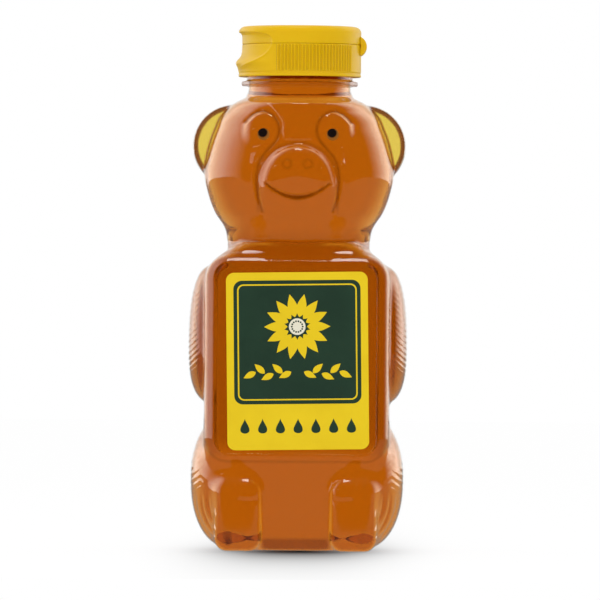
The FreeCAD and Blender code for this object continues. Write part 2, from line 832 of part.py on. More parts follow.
lid_turned = turned_body("lid_turned", (
    ("0", LID_CEILING),
    (SEAL_RING_INNER, LID_CEILING),
    (SEAL_RING_INNER, SEAL_RING_BOTTOM),
    (SEAL_RING_OUTER, SEAL_RING_BOTTOM),
    (SEAL_RING_OUTER, LID_CEILING),
    (LID_BORE, LID_CEILING),
    (LID_BORE, LID_BOTTOM),
    ("sizes.cap_radius", LID_BOTTOM),
    ("sizes.cap_radius", LID_TOP),
    ("0", LID_TOP),
))
doc.recompute()
lid_turning = lid_turned.Tip
round_edges(lid_turned, "lid_rim", lid_turning, top_edges(lid_turning.Shape), "sizes.lid_edge_radius")
flip_lid = cut("flip_lid", lid_turned, scoop("lid_scoop"))


# Living hinge: a bowed strap that bridges the seam at the back of the lid

STRAP_RADIUS = "((sizes.strap_height * sizes.strap_height / 4 + sizes.strap_bulge * sizes.strap_bulge)" \
    " / (2 * sizes.strap_bulge))"
strap_centre = (f"sizes.cap_radius + sizes.strap_bulge - {STRAP_RADIUS}", "0", SEAM)
strap_bow = cut(
    "strap_bow",
    lying_cylinder("strap_outer", STRAP_RADIUS, "sizes.strap_width", strap_centre),
    lying_cylinder(
        "strap_inner",
        f"{STRAP_RADIUS} - sizes.strap_thickness",
        "(sizes.strap_width + 2 * sizes.cut_overrun)",
        strap_centre,
    ),
)
hinge_strap = cut(
    "hinge_strap",
    strap_bow,
    cylinder(
        "strap_seat",
        "sizes.cap_radius + sizes.strap_clearance",
        CAP_BOTTOM,
        f"{LID_TOP} - {CAP_BOTTOM}",
    ),
)


# Check every object, then write one file for each piece

PIECES = (
    bottle_shell,
    honey_fill,
    front_label,
    left_eye_print,
    right_eye_print,
    inner_seal,
    seal_pull_tab,
    cap_liner,
    cap_base,
    flip_lid,
    hinge_strap,
)

doc.recompute()
for item in doc.Objects:
    if "Invalid" in item.State or "Error" in item.State:
        raise RuntimeError(f"{item.Name} failed to build")
for piece in PIECES:
    if piece.Shape.isNull() or not piece.Shape.isValid() or len(piece.Shape.Solids) != 1:
        raise RuntimeError(f"{piece.Label} isn't one valid solid")

os.makedirs("parts", exist_ok=True)
for piece in PIECES:
    piece.Shape.exportStep(f"parts/{piece.Label}.step")
    print(f"{piece.Label}: {piece.Shape.Volume:.1f} cubic mm")
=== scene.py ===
import math

import bpy
import numpy as np
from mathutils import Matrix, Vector


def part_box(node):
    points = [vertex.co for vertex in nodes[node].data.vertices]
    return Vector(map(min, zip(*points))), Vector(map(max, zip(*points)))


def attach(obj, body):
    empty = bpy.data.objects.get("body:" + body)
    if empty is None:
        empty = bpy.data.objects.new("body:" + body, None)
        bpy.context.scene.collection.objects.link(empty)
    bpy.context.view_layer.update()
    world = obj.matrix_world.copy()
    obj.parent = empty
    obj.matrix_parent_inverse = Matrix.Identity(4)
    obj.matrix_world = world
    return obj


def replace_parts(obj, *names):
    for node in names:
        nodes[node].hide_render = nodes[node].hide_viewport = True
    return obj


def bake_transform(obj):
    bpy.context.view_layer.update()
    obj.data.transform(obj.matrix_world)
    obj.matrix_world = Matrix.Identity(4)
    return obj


# A clear bear-shaped squeeze bottle full of honey, with a belly label and a yellow flip-top cap.
# Shapes are worked out in millimetres in the part's own frame, +Z up and the bear facing -Y,
# and go into Blender in metres.

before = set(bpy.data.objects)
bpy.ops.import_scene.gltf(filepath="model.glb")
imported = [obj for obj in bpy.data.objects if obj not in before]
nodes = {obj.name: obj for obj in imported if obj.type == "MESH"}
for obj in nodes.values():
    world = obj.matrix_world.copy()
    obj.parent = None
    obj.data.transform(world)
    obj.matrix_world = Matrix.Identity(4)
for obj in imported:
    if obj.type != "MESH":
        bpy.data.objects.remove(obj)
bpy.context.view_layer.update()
MM = 0.001
TINY = 1e-6
FAR = 300.0


def level(node, end):
    """Height of a node's bottom, end 0, or top, end 1, in millimetres."""
    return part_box(node)[end][2] / MM


# Sizes of the bear and its cap, as in the solids

# An edge is a rounded rim and a blend is a fillet. A line is given as its place, its height or depth and
# its half width, and a span as its two ends and the fade at them.
TORSO_HALF_WIDTH = 32.5
BELLY_REACH = 27.0
BACK_REACH = 31.0
TORSO_HEIGHT = 108.0
BELLY_CORNER = 7.0
BELLY_CORNER_LOW = 17.0
CORNER_LEVELS = (14.0, 42.0)
BACK_CORNER = 19.0
BASE_ROUNDING = 14.0
SHOULDER_ROUNDING = 15.0
BASE_POWER = 3.2
SHOULDER_POWER = 2.6
BASE_INSETS = (10.1, 4.5, 9.2)
SHOULDER_INSETS = (12.5, 7.5, 10.3)
BASE_DISH = (20.0, 15.0, 3.0)
BELLY_DRAFT = 0.085
DRAFT_TOP = 33.0
TORSO_EDGE = 1.0
DISH_EDGE = 1.5
BASE_EDGE = 0.6

FRAME_HALF = (32.0, 36.2)
FRAME_MIDDLE = 67.5
FRAME_CORNER = 8.0
FRAME_FRONT = 27.9
FRAME_CHAMFER = 3.6
FRAME_EDGE = 1.2
FRAME_BLEND = 1.0
PANEL_HALF = (28.0, 33.3)
PANEL_MIDDLE = 67.6
PANEL_CORNER = 5.0
PANEL_FLOOR = 26.6
PANEL_EDGE = 0.8

ARM_CENTRE = (29.3, -2.0, 72.0)
ARM_RADII = (9.3, 19.0, 28.5)
ARM_DROP = 20.5
ARM_POWER = 2.6
ARM_BLEND = 1.2
LEG_CENTRE = (21.5, -3.0, 25.5)
LEG_RADII = (16.0, 23.4, 23.0)
LEG_DROP = 25.4
LEG_POWER = 2.3
LEG_BLEND = 1.6
LEAST_SHARE = 1e-4
FOOT_CENTRE = (20.1, -20.0, 13.0)
FOOT_HALF = (8.5, 10.0, 13.2)
FOOT_ROUNDING = 5.2
FOOT_BLEND = 3.2

CHIN = 108.6
CHIN_DROP = 4.6
CHIN_BLEND = 2.0
HEAD_HEIGHT = 51.0
HEAD_TOP = CHIN + HEAD_HEIGHT
HEAD_HALF_WIDTH = 33.5
HEAD_HALF_DEPTH = 27.5
HEAD_EDGE = 2.0
HEAD_LEVELS = (0.00, 0.09, 0.20, 0.34, 0.46, 0.60, 0.77, 0.89, 0.965, 1.00)
HEAD_WIDTHS = (0.752, 0.780, 0.885, 0.965, 1.000, 0.970, 0.890, 0.795, 0.665, 0.555)
HEAD_DEPTHS = (0.715, 0.790, 0.900, 0.970, 1.000, 0.980, 0.925, 0.870, 0.785, 0.650)

EAR_CENTRE = (23.1, 2.0, 142.4)
EAR_RADIUS = 14.6
EAR_RIM = (0.95, 3.4)
EAR_WEB_HALF = 2.2
EAR_BLEND = 0.8

MUZZLE_CENTRE = (0.0, -15.0, 134.0)
MUZZLE_RADII = (21.0, 15.4, 22.0)
MUZZLE_HALF_WIDTH = 13.6
MUZZLE_LEVELS = (116.0, 129.2)
MUZZLE_EDGES = (2.4, 5.5)
MUZZLE_TOP = (MUZZLE_LEVELS[1], FAR, 16.0)
MUZZLE_BLEND = 1.0
EYE_CENTRE = (12.4, -19.8, 147.0)
EYE_RADII = (6.2, 4.0, 6.2)
EYE_BLEND = 1.8
PUPIL_CENTRE = (12.1, 146.0)
PUPIL_RADIUS = 2.1

NECK_RADIUS = 18.1
NECK_FILLET = 3.2
NECK_SINK = 6.0
NECK_LAP = 1.0
RIM_EDGE = 0.4
RING_LEVELS = (163.4, 165.0)
RING_RADIUS = 20.5
RING_BLEND = 0.5
BEAD_RADIUS = 18.9
BEAD_TOP = 167.8
BEAD_EDGE = 0.8
FINISH_RADIUS = 17.6
FINISH_EDGE = 0.6
LIP = level("inner_seal", 0)
BORE_RADIUS = 15.9
BORE_BLEND = 0.8
BORE_EDGE = 0.3
THREAD_PITCH = 4.23
THREAD_RISE = 1.0
THREAD_POWER = 1.5
THREAD_LEVELS = (LIP - 6.3, LIP - 1.1)
HONEY_LEVEL = level("honey_fill", 1)
HONEY_EDGE = 0.6
WALL = 0.2
HONEY_GAP = 0.06

CAP_RADIUS = 21.6
CAP_BOTTOM = level("cap_base", 0)
DECK_BOTTOM = level("cap_liner", 1)
SPOUT_TOP = level("cap_base", 1)
LID_BOTTOM = level("flip_lid", 0)
LID_TOP = level("flip_lid", 1)
SEAM_GAP = 0.3
LID_CLOSER = 0.15
DECK_CLOSER = 0.12
DECK_TOP = LID_BOTTOM - SEAM_GAP
SEAM = LID_BOTTOM - SEAM_GAP / 2
CAP_EDGE = 0.3
CUT_LAP = 5.0
SKIRT_BORE = 19.2
SKIRT_BORE_EDGE = 0.4
SPOUT_RADII = (5.2, 4.5)
SPOUT_EDGE = 0.4
SPOUT_BLEND = 0.6
SPOUT_SINK = 0.2
ORIFICE_RADIUS = 3.2
SNAP_RADII = (18.5, 19.4)
SNAP_HEIGHT = 1.0
SNAP_EDGE = 0.25
RIB_RISE = 0.5
RIB_COUNT = 24
RIB_ANGLES = (34.0, 110.0)
RIB_BAND = (9.4, 0.3)
RIB_FADES = (0.3, 0.4)
BEAD_GROOVE = (-10.0, -0.2, 0.35)
LID_EDGE = 0.25
LID_BORE = 19.7
LID_BORE_EDGE = 0.6
LID_ROOF = 1.5
LID_ROUNDING = 2.2
LID_CROWN = 0.2
SEAL_RING_RADII = (5.4, 6.4)
SEAL_RING_OVERLAP = 1.8
SEAL_RING_ROOT = 0.5
SCOOP_DEPTH = 1.25
SCOOP_REACH = (21.3, 23.8)
SCOOP_RISE = 4.3
SCOOP_FALL = 8.6
SCOOP_POWERS = (2.0, 4.0)
SCOOP_BOWLS = (2.0, 8.0)
SCOOP_TAB = (-6.4, 1.5, 1.7)
SCOOP_RIDGE = (0.0, 0.25, 0.5)
RIDGE_LEVELS = (-FAR, 0.5, 1.0)
RIDGE_SIDES = (9.0, FAR, 6.0)
STRAP_DROP = 0.5
STRAP_HEIGHT = 6.6
STRAP_BULGE = 2.0
STRAP_THICKNESS = 2.2
STRAP_HALF_WIDTH = 4.5
STRAP_GAP = 0.1
STRAP_EDGE = 0.4
STRAP_ROOT_EDGE = 0.2


# Field helpers: each field is negative inside a form and about the distance from it outside

def smooth_curve(stations, values):
    """Smooth curve through the values at the given stations."""
    stations = np.array(stations)
    values = np.array(values)
    slopes = np.gradient(values, stations)

    def at(position):
        position = np.clip(position, stations[0], stations[-1])
        index = np.clip(np.searchsorted(stations, position, side="right") - 1, 0, len(stations) - 2)
        width = stations[index + 1] - stations[index]
        t = (position - stations[index]) / width
        rise = values[index + 1] - values[index]
        ease = t * t * (3 - 2 * t)
        start_bend = t * (1 - t) ** 2 * width * slopes[index]
        end_bend = t * t * (t - 1) * width * slopes[index + 1]
        return values[index] + rise * ease + start_bend + end_bend

    return at


def join(first, second, blend):
    """Union of two fields with a fillet of about the blend's size."""
    share = np.clip(0.5 + 0.5 * (second - first) / blend, 0, 1)
    return second + (first - second) * share - blend * share * (1 - share)


def meet(first, second, blend):
    """Overlap of two fields with a rounded edge."""
    return -join(-first, -second, blend)


def carve(body, tool, blend):
    """Body less the tool, with a rounded edge."""
    return meet(body, -tool, blend)


def ellipsoid(p, centre, radii):
    q = (p - np.array(centre)) / np.array(radii)
    first = np.linalg.norm(q, axis=1)
    second = np.linalg.norm(q / np.array(radii), axis=1)
    return (first - 1) * np.maximum(first, TINY) / np.maximum(second, TINY)


def rounded_rectangle(a, b, half, corner):
    """Distance in a plane from a rectangle with round corners."""
    across = np.abs(a) - half[0] + corner
    along = np.abs(b) - half[1] + corner
    outside = np.hypot(np.maximum(across, 0), np.maximum(along, 0))
    return outside + np.minimum(np.maximum(across, along), 0) - corner


def column(p, radius, bottom, top, edge):
    """Upright cylinder on the neck's axis with rounded rims."""
    side = np.hypot(p[:, 0], p[:, 1]) - radius
    return meet(side, np.maximum(bottom - p[:, 2], p[:, 2] - top), edge)


def mirrored(p):
    """The points with both sides of the bear folded onto +X."""
    folded = p.copy()
    folded[:, 0] = np.abs(folded[:, 0])
    return folded


def window(value, low, high, soft):
    """About 1 between two values and 0 outside them."""
    rise = np.clip((value - low) / soft + 0.5, 0, 1)
    fall = np.clip((high - value) / soft + 0.5, 0, 1)
    return rise * rise * (3 - 2 * rise) * fall * fall * (3 - 2 * fall)


def line(distance, place, height, half_width):
    """Rounded ridge, or groove with a negative height, along a line."""
    return height * np.exp(-(((distance - place) / half_width) ** 2))


# The bear's forms

head_width = smooth_curve(HEAD_LEVELS, HEAD_WIDTHS)
head_depth = smooth_curve(HEAD_LEVELS, HEAD_DEPTHS)


def torso(p):
    x, y, z = p.T
    base = np.clip(1 - z / BASE_ROUNDING, 0, 1) ** BASE_POWER
    shoulder = np.clip(1 - (TORSO_HEIGHT - z) / SHOULDER_ROUNDING, 0, 1) ** SHOULDER_POWER
    side, belly, back = (
        reach - base * low - shoulder * high
        for reach, low, high in zip(
            (TORSO_HALF_WIDTH, BELLY_REACH, BACK_REACH), BASE_INSETS, SHOULDER_INSETS
        )
    )
    belly = belly - BELLY_DRAFT * np.clip(DRAFT_TOP - z, 0, DRAFT_TOP)
    middle = (back - belly) / 2
    low = np.clip((CORNER_LEVELS[1] - z) / (CORNER_LEVELS[1] - CORNER_LEVELS[0]), 0, 1)
    belly_corner = BELLY_CORNER + (BELLY_CORNER_LOW - BELLY_CORNER) * low * low * (3 - 2 * low)
    corner = np.where(y > middle, BACK_CORNER, belly_corner)
    plan = rounded_rectangle(x, y - middle, (side, (back + belly) / 2), corner)
    return meet(plan, np.maximum(-z, z - TORSO_HEIGHT), TORSO_EDGE)


def head(p):
    x, y, z = p.T
    share = np.clip((z - CHIN) / HEAD_HEIGHT, 0, 1)
    half_width = HEAD_HALF_WIDTH * head_width(share)
    half_depth = HEAD_HALF_DEPTH * head_depth(share)
    first = np.hypot(x / half_width, y / half_depth)
    second = np.hypot(x / half_width**2, y / half_depth**2)
    plan = (first - 1) * np.maximum(first, TINY) / np.maximum(second, TINY)
    return meet(plan, np.maximum(CHIN - CHIN_DROP - z, z - HEAD_TOP), HEAD_EDGE)


def ear(p):
    """Round rim with a flat web inside it, on the +X side."""
    q = p - np.array(EAR_CENTRE)
    spread = np.hypot(q[:, 0], q[:, 2])
    rim_x = (spread - EAR_RADIUS + EAR_RIM[0]) / EAR_RIM[0]
    rim_y = q[:, 1] / EAR_RIM[1]
    rim = (np.hypot(rim_x, rim_y) - 1) * EAR_RIM[0]
    web = np.maximum(spread - EAR_RADIUS + EAR_RIM[0], np.abs(q[:, 1]) - EAR_WEB_HALF)
    return join(rim, web, EAR_BLEND)


def muzzle_outline(x, z):
    """Distance from the muzzle's arch, seen from the front."""
    return np.hypot(x, z - np.clip(z, *MUZZLE_LEVELS)) - MUZZLE_HALF_WIDTH


def muzzle(p):
    """Arch whose edge is rounder at its top than down its sides."""
    top = window(p[:, 2], *MUZZLE_TOP)
    edge = MUZZLE_EDGES[0] + (MUZZLE_EDGES[1] - MUZZLE_EDGES[0]) * top
    return meet(muzzle_outline(p[:, 0], p[:, 2]), ellipsoid(p, MUZZLE_CENTRE, MUZZLE_RADII), edge)


def plump(p, centre, radii, drop, power):
    """Swollen form, squarer than an ellipsoid, with its own reach below its middle."""
    q = np.abs(p - np.array(centre))
    reach = np.array(radii) * np.ones_like(q)
    reach[:, 2] = np.where(p[:, 2] < centre[2], drop, radii[2])
    share = np.maximum(q / reach, LEAST_SHARE)
    size = (share**power).sum(axis=1) ** (1 / power)
    slope = np.linalg.norm(share ** (power - 1) / reach, axis=1) * size ** (1 - power)
    return (size - 1) / slope


def foot(p):
    q = np.abs(p - np.array(FOOT_CENTRE)) - np.array(FOOT_HALF) + FOOT_ROUNDING
    outside = np.linalg.norm(np.maximum(q, 0), axis=1)
    return outside + np.minimum(q.max(axis=1), 0) - FOOT_ROUNDING


def label_frame(p):
    outline = rounded_rectangle(p[:, 0], p[:, 2] - FRAME_MIDDLE, FRAME_HALF, FRAME_CORNER)
    front = -FRAME_FRONT - p[:, 1]
    chamfer = (outline + front + FRAME_CHAMFER) / math.sqrt(2)
    return np.maximum(meet(np.maximum(outline, front), chamfer, FRAME_EDGE), p[:, 1])


def panel_recess(p):
    outline = rounded_rectangle(p[:, 0], p[:, 2] - PANEL_MIDDLE, PANEL_HALF, PANEL_CORNER)
    return np.maximum(outline, p[:, 1] + PANEL_FLOOR)


def bear(p):
    """The whole bear below its neck's finish, without fine relief."""
    q = mirrored(p)
    body = join(torso(p), label_frame(p), FRAME_BLEND)
    leg = plump(q, LEG_CENTRE, LEG_RADII, LEG_DROP, LEG_POWER)
    body = join(body, join(leg, foot(q), FOOT_BLEND), LEG_BLEND)
    body = join(body, plump(q, ARM_CENTRE, ARM_RADII, ARM_DROP, ARM_POWER), ARM_BLEND)
    skull = join(head(p), ear(q), EAR_BLEND)
    skull = join(skull, ellipsoid(q, EYE_CENTRE, EYE_RADII), EYE_BLEND)
    skull = join(skull, muzzle(p), MUZZLE_BLEND)
    body = join(body, skull, CHIN_BLEND)
    body = carve(body, panel_recess(p), PANEL_EDGE)
    body = carve(body, ellipsoid(p, (0, 0, 0), BASE_DISH), DISH_EDGE)
    return meet(body, -p[:, 2], BASE_EDGE)


def thread(p):
    """Height of the screw thread above the finish."""
    x, y, z = p.T
    turn = (z - THREAD_LEVELS[0]) / THREAD_PITCH - np.arctan2(y, x) / (2 * math.pi)
    ridge = np.clip(np.cos(2 * math.pi * turn), 0, 1) ** THREAD_POWER
    inside = np.clip(z - THREAD_LEVELS[0], 0, 1) * np.clip(THREAD_LEVELS[1] - z, 0, 1)
    return THREAD_RISE * ridge * inside


def outside(p):
    neck = column(p, NECK_RADIUS, HEAD_TOP - NECK_SINK, RING_LEVELS[0] + NECK_LAP, RIM_EDGE)
    whole = join(bear(p), neck, NECK_FILLET)
    whole = join(whole, column(p, RING_RADIUS, *RING_LEVELS, RIM_EDGE), RING_BLEND)
    whole = join(whole, column(p, BEAD_RADIUS, RING_LEVELS[0], BEAD_TOP, BEAD_EDGE), RING_BLEND)
    finish = column(p, FINISH_RADIUS, RING_LEVELS[0], LIP, FINISH_EDGE) - thread(p)
    return meet(join(whole, finish, RIM_EDGE), p[:, 2] - LIP, RIM_EDGE)


def room_inside(p, inset):
    """The bear's hollow with the bore of its neck, smaller all round by an inset."""
    neck = column(p, NECK_RADIUS - inset, HEAD_TOP - NECK_SINK, RING_LEVELS[1], RIM_EDGE)
    bead = column(p, BEAD_RADIUS - inset, RING_LEVELS[1], BEAD_TOP - RIM_EDGE, RIM_EDGE)
    bore = column(p, BORE_RADIUS + WALL - inset, HEAD_TOP - NECK_SINK, LIP + NECK_LAP, RIM_EDGE)
    return join(bear(p) + inset, join(join(neck, bead, RING_BLEND), bore, BORE_BLEND), NECK_FILLET)


def hollow(p):
    return meet(room_inside(p, WALL), p[:, 2] - LIP + HONEY_GAP, BORE_EDGE)


def honey(p):
    return meet(room_inside(p, WALL + HONEY_GAP), p[:, 2] - HONEY_LEVEL, HONEY_EDGE)


# The cap's forms

def round_off(first, second, radius):
    """Overlap of two fields with its edge rounded to a radius."""
    corner = np.hypot(np.maximum(first + radius, 0), np.maximum(second + radius, 0))
    return np.minimum(np.maximum(first, second), -radius) + corner


def band(p, inner, outer, bottom, top, edge):
    """Ring about the neck's axis, or a disc from an inner radius below zero."""
    r = np.hypot(p[:, 0], p[:, 1])
    middle = ((inner + outer) / 2, (bottom + top) / 2)
    half = ((outer - inner) / 2, (top - bottom) / 2)
    return rounded_rectangle(r - middle[0], p[:, 2] - middle[1], half, edge)


def swell(p, height):
    """The points drawn in towards the neck's axis, so that a form round it grows by a height."""
    share = 1 - height / np.maximum(np.hypot(p[:, 0], p[:, 1]), CAP_RADIUS / 2)
    return np.column_stack((p[:, 0] * share, p[:, 1] * share, p[:, 2]))


def scoop(p):
    """Height of the thumb scoop: a dish about the seam with a tab that flares out at its foot."""
    q = p - np.array((-CAP_RADIUS, 0, SEAM))
    above = q[:, 2] > 0
    height = np.where(above, SCOOP_RISE, SCOOP_FALL)
    power = np.where(above, SCOOP_POWERS[1], SCOOP_POWERS[0])
    across = np.maximum(np.hypot(q[:, 0] / SCOOP_REACH[0], q[:, 1] / SCOOP_REACH[1]), TINY)
    up = np.maximum(np.abs(q[:, 2]) / height, TINY)
    size = (across**power + up**power) ** (1 / power)
    bowl = np.clip(1 - size ** np.where(above, SCOOP_BOWLS[1], SCOOP_BOWLS[0]), 0, 1)
    tab = line(q[:, 2], *SCOOP_TAB) * np.clip(1 - across**2, 0, 1)
    slope = np.hypot(across ** (power - 1) / SCOOP_REACH[0], up ** (power - 1) / height)
    distance = (size - 1) / (slope * size ** (1 - power))
    ridge = line(distance, *SCOOP_RIDGE)
    ridge *= window(q[:, 2], *RIDGE_LEVELS) * window(np.abs(q[:, 1]), *RIDGE_SIDES)
    return tab + ridge - SCOOP_DEPTH * bowl


def rib_wave(p):
    """Height of the grip ribs as a share of their rise, and 1 in the field that they fill."""
    angle = np.degrees(np.arctan2(np.abs(p[:, 1]), p[:, 0]))
    pitch = (RIB_ANGLES[1] - RIB_ANGLES[0]) / (RIB_COUNT - 1)
    wave = 0.5 + 0.5 * np.cos(2 * math.pi * (angle - RIB_ANGLES[0]) / pitch)
    reach = window(angle, RIB_ANGLES[0] - pitch / 2, RIB_ANGLES[1] + pitch / 2, RIB_FADES[0])
    height = window(p[:, 2], DECK_TOP - RIB_BAND[0], DECK_TOP - RIB_BAND[1], RIB_FADES[1])
    return wave**2, reach * height


def ribs(p):
    """Height of the grip ribs above the skirt."""
    wave, place = rib_wave(p)
    return RIB_RISE * wave * place


def cap_base(p):
    x, y, z = p.T
    r = np.hypot(x, y)
    groove = line(z - DECK_TOP, *BEAD_GROOVE)
    shaped = swell(p, ribs(p) + scoop(p) + groove)
    body = band(shaped, -CAP_RADIUS, CAP_RADIUS, CAP_BOTTOM, DECK_TOP + DECK_CLOSER, CAP_EDGE)
    skirt_bore = band(p, -SKIRT_BORE, SKIRT_BORE, CAP_BOTTOM - CUT_LAP, DECK_BOTTOM, SKIRT_BORE_EDGE)
    body = carve(body, skirt_bore, CAP_EDGE)
    snap_ring = band(p, *SNAP_RADII, DECK_BOTTOM, DECK_TOP + SNAP_HEIGHT, SNAP_EDGE)
    body = join(body, snap_ring, CAP_EDGE)
    taper = (SPOUT_RADII[0] - SPOUT_RADII[1]) * (z - DECK_TOP) / (SPOUT_TOP - DECK_TOP)
    spout = round_off(r - SPOUT_RADII[0] + taper, z - SPOUT_TOP, SPOUT_EDGE)
    body = join(body, np.maximum(spout, DECK_BOTTOM + SPOUT_SINK - z), SPOUT_BLEND)
    return carve(body, r - ORIFICE_RADIUS, CAP_EDGE)


def flip_lid(p):
    x, y, z = p.T
    r = np.hypot(x, y)
    top = LID_TOP - LID_CROWN * (r / CAP_RADIUS) ** 2
    body = round_off(r - scoop(p) - CAP_RADIUS, z - top, LID_ROUNDING)
    body = round_off(body, LID_BOTTOM - LID_CLOSER - z, LID_EDGE)
    ceiling = LID_TOP - LID_ROOF
    bore = band(p, -LID_BORE, LID_BORE, LID_BOTTOM - CUT_LAP, ceiling, LID_BORE_EDGE)
    seal_foot = SPOUT_TOP - SEAL_RING_OVERLAP
    seal_ring = band(p, *SEAL_RING_RADII, seal_foot, ceiling + SEAL_RING_ROOT, CAP_EDGE)
    return join(carve(body, bore, CAP_EDGE), seal_ring, CAP_EDGE)


def hinge_strap(p):
    """Bowed strap that bridges the seam at +X."""
    x, y, z = p.T
    radius = (STRAP_HEIGHT**2 / 4 + STRAP_BULGE**2) / (2 * STRAP_BULGE)
    centre = CAP_RADIUS + STRAP_BULGE - radius
    out = np.hypot(x - centre, z - SEAM + STRAP_DROP) - radius
    bow = np.abs(out + STRAP_THICKNESS / 2) - STRAP_THICKNESS / 2
    bow = round_off(bow, np.abs(y) - STRAP_HALF_WIDTH, STRAP_EDGE)
    return meet(bow, CAP_RADIUS + STRAP_GAP - np.hypot(x, y), STRAP_ROOT_EDGE)


# Fine relief, as a height along the surface's normal

MOUTH_HALF_WIDTH = 11.0
MOUTH_SPAN = (117.0, FAR, 8.0)
SMILE_LEVEL = 123.9
SMILE_RISE = 4.8
SMILE_DEPTH = 0.8
SMILE_WIDTHS = (0.8, 0.3)
SMILE_SPAN = (-FAR, MOUTH_HALF_WIDTH + 0.3, 1.8)
LIP_LEVEL = 132.0
LIP_FALL = 3.4
LIP_POWER = 1.3
LIP_SLOPE = 0.15
NOSTRIL = (3.6, 135.6)
NOSTRIL_PIT = (0.0, 0.5, 1.0)
NOSTRIL_LINE = (1.5, 0.22, 0.4)
NOSTRIL_RIM = (1.7, 0.3, 0.4)
NOSTRIL_RIM_SPAN = (135.4, FAR, 1.0)
ARCH_LINE = (0.3, 0.25, 0.5)
ARCH_SPAN = (119.0, 160.0, 4.0)
BROW_LINE = (
    (18.6, 150.4), (15.6, 153.2), (12.3, 154.2), (9.0, 152.8), (7.0, 149.8), (6.6, 147.0), (7.6, 143.9),
    (10.2, 140.8), (12.7, 137.6), (14.2, 133.6), (14.5, 129.0), (13.9, 124.0), (12.4, 119.2),
)
BROW_GROOVE = (0.0, 0.4, 0.55)
BROW_RIDGE = (1.2, 0.14, 0.6)
BRIDGE_HEIGHT = 0.6
BRIDGE_HALF_WIDTH = 5.1
BRIDGE_FADE = 0.9
BRIDGE_SPAN = (144.2, 157.0, 1.1)
FLARE_LEVELS = (149.0, 169.0)
FLARE_SLOPE = 0.2
FLARE_POWER = 1.6
FACE_SPAN = (114.0, 160.0, 3.0)
FACE_TURN = (0.25, FAR, 0.3)
ARM_STROKE = 0.16
ARM_STROKE_PITCH = 2.0
ARM_STROKE_LEAN = 0.9
ARM_STROKE_MIDDLE = 30.0
ARM_PATCH = ((34.6, FAR, 3.0), (62.0, 94.0, 8.0))
HIP_STROKE = 0.04
HIP_STROKE_PITCH = 2.4
HIP_STROKE_LEAN = 0.8
HIP_STROKE_MIDDLE = 33.6
HIP_PATCH = ((32.5, FAR, 3.0), (21.0, 38.0, 4.0))
LEG_FOLDS = (35.4, 33.0, 30.6, 28.2)
LEG_FOLD = (0.3, 0.5)
LEG_FOLD_TOP = 18.5
LEG_FOLD_BEND = 0.03
LEG_PATCH = ((28.5, FAR, 3.0), (4.0, 19.0, 5.0))
TOES = (20.6, 22.9)
TOE_GROOVE = (0.5, 0.45)
TOE_BEND = 0.02
TOE_MIDDLE = 21.0
TOE_LEVELS = (19.0, 25.0, 2.5)
TOE_FRONT = (-FAR, -23.0, 4.0)
PAD_LINE = (17.8, 0.5, 0.55)
PAD_BEND = 0.03
PAD_MIDDLE = 16.5
PAD_SPAN = (13.5, 20.0, 2.0)
LIMB_SPAN = (2.0, 104.0, 4.0)


def smooth_line(points, spans=6):
    """Points along a smooth curve through the given ones."""
    points = np.array(points)
    ends = np.vstack((2 * points[0] - points[1], points, 2 * points[-1] - points[-2]))
    shares = np.arange(spans)[:, None] / spans
    run = []
    for a, b, c, d in zip(ends, ends[1:], ends[2:], ends[3:]):
        bend = (2 * a - 5 * b + 4 * c - d) * shares**2 + (3 * b - a - 3 * c + d) * shares**3
        run.append(b + ((c - a) * shares + bend) / 2)
    return np.vstack(run + [points[-1:]])


def from_line(points, x, z):
    """Distance in the front view from a run of points, and the side of it, + to its left."""
    best = np.full(len(x), np.inf)
    side = np.zeros(len(x))
    for (x0, z0), (x1, z1) in zip(points, points[1:]):
        dx, dz = x1 - x0, z1 - z0
        along = np.clip(((x - x0) * dx + (z - z0) * dz) / (dx * dx + dz * dz), 0, 1)
        distance = np.hypot(x - x0 - along * dx, z - z0 - along * dz)
        nearer = distance < best
        turn = np.sign(dx * (z - z0) - dz * (x - x0))
        best = np.where(nearer, distance, best)
        side = np.where(nearer, turn, side)
    return best, side


def smile_level(x):
    return SMILE_LEVEL + SMILE_RISE * np.clip(x / MOUTH_HALF_WIDTH, 0, 1) ** 2


def face_grooves(x, z):
    """Depth of the face's thin lines: smile, arch round the muzzle, nostrils and the fold from the brow."""
    steepness = np.hypot(1, 2 * SMILE_RISE * x / MOUTH_HALF_WIDTH**2)
    corner = np.clip(x / MOUTH_HALF_WIDTH, 0, 1)
    width = SMILE_WIDTHS[0] + (SMILE_WIDTHS[1] - SMILE_WIDTHS[0]) * corner
    depth = line((z - smile_level(x)) / steepness, 0, SMILE_DEPTH, width) * window(x, *SMILE_SPAN)
    depth += line(muzzle_outline(x, z), *ARCH_LINE) * window(z, *ARCH_SPAN)
    depth += line(np.hypot(x - NOSTRIL[0], z - NOSTRIL[1]), *NOSTRIL_LINE)
    distance, _ = from_line(smooth_line(BROW_LINE), x, z)
    return depth + line(distance, *BROW_GROOVE)


def mouth_relief(x, z):
    """Lip that slopes back from the nose to the smile, and the nostrils."""
    smile = smile_level(x)
    fall = LIP_FALL * np.clip(x / MOUTH_HALF_WIDTH, 0, 1) ** LIP_POWER
    lip = np.maximum(LIP_LEVEL - fall, smile)
    height = -LIP_SLOPE * np.clip(lip - z, 0, lip - smile) * window(z, *MOUTH_SPAN)
    nostril = np.hypot(x - NOSTRIL[0], z - NOSTRIL[1])
    rim = line(nostril, *NOSTRIL_RIM) * window(z, *NOSTRIL_RIM_SPAN)
    return height - line(nostril, *NOSTRIL_PIT) + rim


